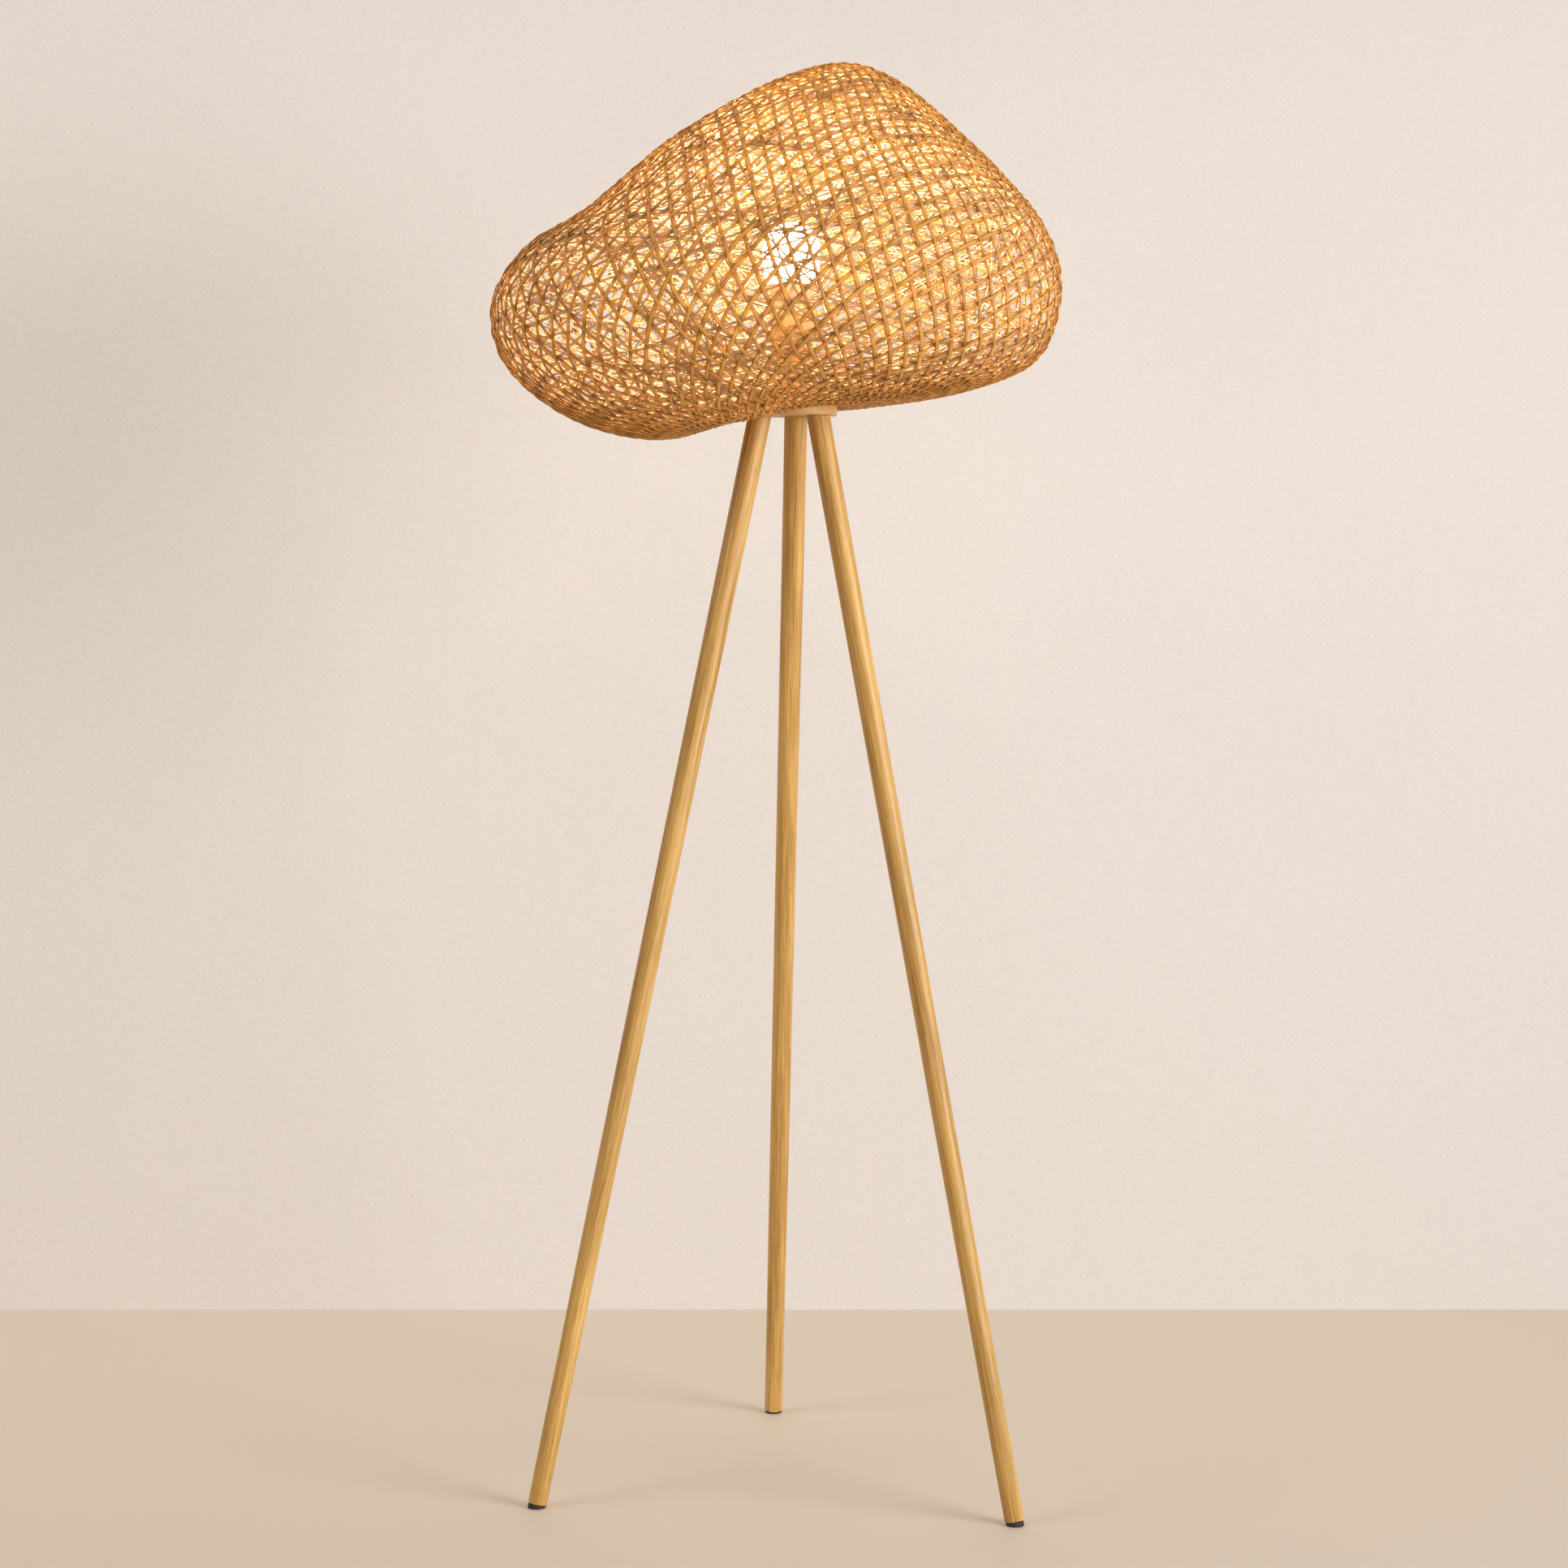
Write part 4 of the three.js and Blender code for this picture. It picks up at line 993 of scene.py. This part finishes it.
def make_hub():
    radius, low, high = round_size("hub")
    top = low + HUB_THICKNESS
    ceiling = low + COUNTERBORE_DEPTH
    corners = [
        (STEM_BORE, ceiling),
        (COUNTERBORE_RADIUS, ceiling),
        (COUNTERBORE_RADIUS, low),
        (radius, low),
        (radius, top),
        (BOSS_RADIUS, top),
        (BOSS_RADIUS, high),
        (STEM_BORE, high),
    ]
    direction = Vector(HUB_GRAIN)
    # Painted light: the hub's wood is lighter than the legs' where the shade shadows it
    wood = wood_finish("hub_wood", direction, HUB_WOOD_DARK_PAINTED_LIT, HUB_WOOD_LIGHT_PAINTED_LIT, HUB_GRAIN_OFFSET)
    hub = turned("turned_hub", eased(corners, HUB_EASE, True), True, wood)
    fit_out(hub, "stand", "leg_wood", "hub")


def leg_line(name):
    """The middle of a leg's foot on the floor, and the way up along the leg's axis"""
    foot = AXIS + on_circle(FOOT_CIRCLE, LEGS[name]["foot_azimuth"], 0)
    seat = AXIS + on_circle(SEAT_CIRCLE, LEGS[name]["seat_azimuth"], HUB_LOW.z)
    return foot, (seat - foot).normalized()


def slanted(name, line, rings, finish):
    """A round piece on a leg's axis, from rings of run, radius and levelness

    A ring with levelness 0 is square to the axis, and one with 1 is level.
    """
    foot, along = line
    across = along.cross(Vector((0, 1, 0))).normalized()
    beside = along.cross(across)
    rows = [[foot + along * rings[0][0]]]
    for run, radius, levelness in rings:
        row = []
        for facet in range(ROUND_FACETS):
            angle = 2 * math.pi * facet / ROUND_FACETS
            spoke = (across * math.cos(angle) + beside * math.sin(angle)) * radius
            row.append(foot + along * (run - spoke.z / along.z * levelness) + spoke)
        rows.append(row)
    rows.append([foot + along * rings[-1][0]])
    return lofted(name, rows, False, finish)


def make_leg(name):
    line = leg_line(name)
    rise = line[1].z
    low = PAD_HEIGHT / rise
    high = (HUB_LOW.z - FIT) / rise
    rings = [
        (low, LEG_FOOT_RADIUS - LEG_EASE, 0),
        (low + LEG_EASE_MIDDLE, LEG_FOOT_RADIUS - LEG_EASE_MIDDLE, 0),
    ]
    for step in range(LEG_STEPS):
        share = step / LEG_STEPS
        run = low + LEG_EASE + (high - low) * share
        rings.append((run, LEG_FOOT_RADIUS + LEG_TAPER * share, 0))
    rings.append((high, LEG_FOOT_RADIUS + LEG_TAPER, 1))
    offset = LEGS[name]["grain_offset"]
    wood = wood_finish(f"leg_wood_{name}", line[1], WOOD_DARK, WOOD_LIGHT, offset)
    leg = slanted(f"turned_leg_{name}", line, rings, wood)
    fit_out(leg, "stand", "leg_wood", f"leg_{name}")


def make_pad(name):
    line = leg_line(name)
    rise = line[1].z
    top = PAD_HEIGHT / rise - FIT
    rings = [
        (0, PAD_RADIUS - SMALL_EASE, 1),
        (SMALL_EASE / rise, PAD_RADIUS, 1),
        (top - PAD_TOP_EASE, PAD_RADIUS, 0),
        (top, PAD_RADIUS - PAD_TOP_EASE, 0),
    ]
    pad = slanted(f"pressed_pad_{name}", line, rings, RUBBER)
    fit_out(pad, "stand", "pad", f"foot_pad_{name}")


def make_sleeve():
    radius, low, high = round_size("stem_sleeve")
    corners = [(STEM_BORE, low), (radius, low), (radius, high), (STEM_BORE, high)]
    sleeve = turned("smooth_sleeve", eased(corners, SMALL_EASE, True), True, HOLDER_PAINTED_WARM_LIGHT)
    fit_out(sleeve, "stand", "holder_plastic", "stem_sleeve")


def make_holder_cap():
    radius, low, high = round_size("holder_cap")
    inner = radius - HOLDER_WALL
    flare = low + HOLDER_FLARE
    corners = [
        (STEM_BORE, low),
        (HOLDER_NECK, low),
        (radius, flare),
        (radius, high),
        (inner, high),
        (inner, flare + HOLDER_WALL),
        (HOLDER_NECK - HOLDER_WALL, low + HOLDER_WALL),
        (STEM_BORE, low + HOLDER_WALL),
    ]
    cap = turned("smooth_holder_cap", eased(corners, HOLDER_CAP_EASE, True), True, HOLDER_PAINTED_WARM_LIGHT)
    fit_out(cap, "stand", "holder_plastic", "holder_cap")


def make_holder_body():
    inner = round_size("holder_cap")[0] - HOLDER_WALL
    radius, low, high = round_size("holder_body")
    ledge = low + HOLDER_LEDGE
    corners = [
        (inner - HOLDER_LEDGE, low),
        (radius, low),
        (radius, high),
        (inner, high),
        (inner, ledge),
        (inner - HOLDER_LEDGE, ledge),
    ]
    body = turned("smooth_holder_body", eased(corners, SMALL_EASE, True), True, HOLDER_PAINTED_WARM_LIGHT)
    fit_out(body, "stand", "holder_plastic", "holder_body")


def dome_outline(radius, neck, low, top):
    """From the rim up: a barrel that swells from the neck, then a round top"""
    centre = top - radius
    outline = []
    for step in range(DOME_STEPS):
        share = step / DOME_STEPS
        outline.append((radius - (radius - neck) * (1 - share) ** 2, low + (centre - low) * share))
    for step in range(DOME_STEPS):
        angle = step / DOME_STEPS * math.pi / 2
        outline.append((radius * math.cos(angle), centre + radius * math.sin(angle)))
    outline.append((0, top))
    return outline


def thread_outline(radius, low, high):
    """A rolled thread's outline, from one plain edge to the other"""
    crests = int((high - low) / THREAD_PITCH)
    threaded = high - low - 2 * THREAD_EDGE
    outline = [(radius, low)]
    for step in range(crests * THREAD_STEPS + 1):
        dip = (1 - math.cos(2 * math.pi * step / THREAD_STEPS)) / 2 * THREAD_DEPTH
        height = low + THREAD_EDGE + threaded * step / crests / THREAD_STEPS
        outline.append((radius - dip, height))
    outline.append((radius, high))
    return outline


def make_dome():
    radius, low, top = round_size("bulb_dome")
    inside = dome_outline(radius - DOME_WALL, DOME_NECK - DOME_WALL, low, top - DOME_WALL)
    outline = [*inside[::-1], *dome_outline(radius, DOME_NECK, low, top)]
    fit_out(turned("smooth_dome", outline, False, OPAL), "bulb", "opal", "bulb_dome")


def make_housing():
    _, low, high = round_size("bulb_housing")
    flare = low + (high - low) * HOUSING_FLARE_SHARE
    corners = [
        (0, low),
        (HOUSING_NECK, low),
        ((HOUSING_NECK + DOME_NECK) / 2, flare),
        (DOME_NECK, high - DOME_WALL),
        (DOME_NECK, high),
        (0, high),
    ]
    housing = turned("smooth_housing", eased(corners, SMALL_EASE, False), False, BULB_PLASTIC_PAINTED_WARM_LIGHT)
    fit_out(housing, "bulb", "bulb_plastic", "bulb_housing")


def make_screw_cap():
    radius, low, high = round_size("bulb_screw_cap")
    taper = low + radius * CAP_TAPER_SHARE
    inner = radius - CAP_WALL
    outline = [
        (0, low),
        (TIP_RADIUS + CAP_WALL, low),
        *thread_outline(radius, taper, high),
        (inner, high),
        (inner, taper + CAP_WALL),
        (TIP_RADIUS, low + CAP_WALL),
        (0, low + CAP_WALL),
    ]
    cap = turned("threaded_cap", outline, False, CAP_METAL)
    fit_out(cap, "bulb", "cap_metal", "bulb_screw_cap")


def wrap_hoop(braid):
    """The mouth's hoop: a core, and a flat strand wound round it"""
    core = HOOP_TUBE - WRAP_THICKNESS
    outline = []
    for corner in range(WRAP_STEPS):
        angle = 2 * math.pi * corner / WRAP_STEPS
        outline.append((HOOP_RADIUS + core * math.cos(angle), HOOP_HEIGHT + core * math.sin(angle)))
    fit_out(turned("hoop_core", outline, True, HOOP_CORE), "shade", "rattan_hoop", "mouth_hoop")
    turns = round(2 * math.pi * HOOP_RADIUS / WRAP_PITCH)
    points = turns * WRAP_STEPS
    places, outward = [], []
    for point in range(points):
        angle = 2 * math.pi * point / WRAP_STEPS
        azimuth = 360 * point / points
        out = on_circle(math.cos(angle), azimuth, math.sin(angle))
        middle = AXIS + on_circle(HOOP_RADIUS, azimuth, HOOP_HEIGHT)
        places.append(middle + out * (core + WRAP_THICKNESS / 2))
        outward.extend(out)
    edges = [(point, (point + 1) % points) for point in range(points)]
    lines = new_mesh("wrapping_line", places, edges, [])
    lines.attributes.new("outward", "FLOAT_VECTOR", "POINT").data.foreach_set("vector", outward)
    lines.attributes.new("over", "FLOAT", "POINT")
    sizes = {
        "Width": WRAP_WIDTH,
        "Thickness": WRAP_THICKNESS,
        "Lift": 0.0,
        "Depth": 0.0,
        "Step": WRAP_SWEEP_STEP,
        "Width Spread": 0.0,
        "Finish": OUTER_RATTAN,
    }
    wrapping = braid.run("hoop_wrapping", lines, sizes)
    fit_out(wrapping, "shade", "rattan_hoop", "mouth_hoop")


def dress_nodes():
    """Solids whose own shape is right get their finish"""
    finishes = {
        "leg_stud_": STEEL,
        "hub_bush_": BRASS,
        "stem_tube": STEEL,
        "stem_nut": STEEL,
        "stem_washer": STEEL,
        "holder_lock_nut": STEEL,
        "cord_outlet_bush": RUBBER,
        "ceramic_insert": CERAMIC,
        "terminal_screw_": BRASS,
        "screw_shell": BRASS,
        "centre_contact": BRASS,
        "bulb_tip_contact": BRASS,
        "led_board": BOARD,
        "shade_gallery": STEEL,
        "gallery_screw_": BRASS,
    }
    for node, solid in frame["nodes"].items():
        for start, finish in finishes.items():
            if node.startswith(start):
                solid.data.materials.clear()
                solid.data.materials.append(finish)


# Room, light and camera

CAMERA_DISTANCE = 3.6
CAMERA_HEIGHT = 0.997
CAMERA_PITCH = 3.97
CAMERA_LEFT = 0.0077
CAMERA_LENS = 78.4
WALL_BEHIND = 0.785
WALL_COLOUR = (0.85, 0.79, 0.74, 1)
FLOOR_COLOUR = (0.88, 0.765, 0.62, 1)
ROOM = 6.0
WINDOW = {
    "place": (3.9, -2.8, 1.7),
    "aim": (0, 0, 1.1),
    "size": 3.0,
    "power": 58,
    "colour": (0.95, 0.975, 1.0),
}
WALL_WASH = {
    "place": (-2.7, -1.1, 2.6),
    "aim": (-1.1, WALL_BEHIND, 0.85),
    "size": 2.2,
    "power": 9,
    "colour": (1.0, 0.93, 0.84),
}
LIGHT_SPREAD = 88
BULB_POWER = 7.4
BULB_COLOUR = (1.0, 0.94, 0.86)
BULB_GLOW_RADIUS = 0.034
ROOM_LIGHT = 0.36
ROOM_LIGHT_COLOUR = (1.0, 0.96, 0.92, 1)


def backdrop(name, corners, finish):
    surface = new_object(name, new_mesh(name, corners, [], [(0, 1, 2, 3)]))
    surface.data.materials.append(finish)
    return surface


def make_room():
    """A floor and a wall, seen from the lamp's side only"""
    ground = [(-ROOM, -ROOM, 0), (ROOM, -ROOM, 0), (ROOM, ROOM, 0), (-ROOM, ROOM, 0)]
    paint = even_finish("floor_paint", FLOOR_COLOUR, 0.6, speckle=900.0, depth=0.0001, one_sided=True)
    floor = backdrop("floor", ground, paint)
    upright = [(x, WALL_BEHIND, z) for x, z in ((-ROOM, 0), (ROOM, 0), (ROOM, ROOM), (-ROOM, ROOM))]
    plaster = even_finish("wall_plaster", WALL_COLOUR, 0.9, speckle=220.0, depth=0.0012, one_sided=True)
    wall = backdrop("wall", upright, plaster)


def area_light(name, place, aim, size, power, colour):
    light = bpy.data.lights.new(name, "AREA")
    light.shape = "DISK"
    light.size = size
    light.spread = math.radians(LIGHT_SPREAD)
    light.energy = power
    light.color = colour
    lamp = new_object(name, light)
    lamp.location = place
    lamp.rotation_euler = (Vector(aim) - Vector(place)).to_track_quat("-Z", "Y").to_euler()


def bulb_light():
    """The lit bulb's own light; with a soft falloff the dome around it would block it"""
    light = bpy.data.lights.new("bulb_light", "POINT")
    light.energy = BULB_POWER
    light.color = BULB_COLOUR
    light.shadow_soft_size = BULB_GLOW_RADIUS
    light.use_soft_falloff = False
    dome_low, dome_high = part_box("bulb_dome")
    glow = new_object("bulb_light", light)
    glow.location = (dome_low + dome_high) / 2


def make_lights():
    area_light("window", **WINDOW)
    area_light("wall_wash", **WALL_WASH)
    bulb_light()
    world = bpy.data.worlds.new("room_light")
    world.use_nodes = True
    background = world.node_tree.nodes["Background"]
    background.inputs["Color"].default_value = ROOM_LIGHT_COLOUR
    background.inputs["Strength"].default_value = ROOM_LIGHT
    bpy.context.scene.world = world


def make_camera():
    camera = bpy.data.cameras.new("camera")
    camera.lens = CAMERA_LENS
    camera.sensor_width = 36
    viewer = new_object("camera", camera)
    viewer.location = AXIS + Vector((-CAMERA_LEFT, -CAMERA_DISTANCE, CAMERA_HEIGHT))
    viewer.rotation_euler = (math.radians(90 - CAMERA_PITCH), 0, 0)
    bpy.context.scene.camera = viewer


bpy.context.scene.view_settings.view_transform = "Standard"
make_camera()
make_room()
make_lights()
braided_strands = braid_pattern()
weave_shade(braided_strands)
wrap_hoop(braided_strands)
make_hub()
for leg_name in LEGS:
    make_leg(leg_name)
    make_pad(leg_name)
make_sleeve()
make_holder_cap()
make_holder_body()
make_dome()
make_housing()
make_screw_cap()
dress_nodes()
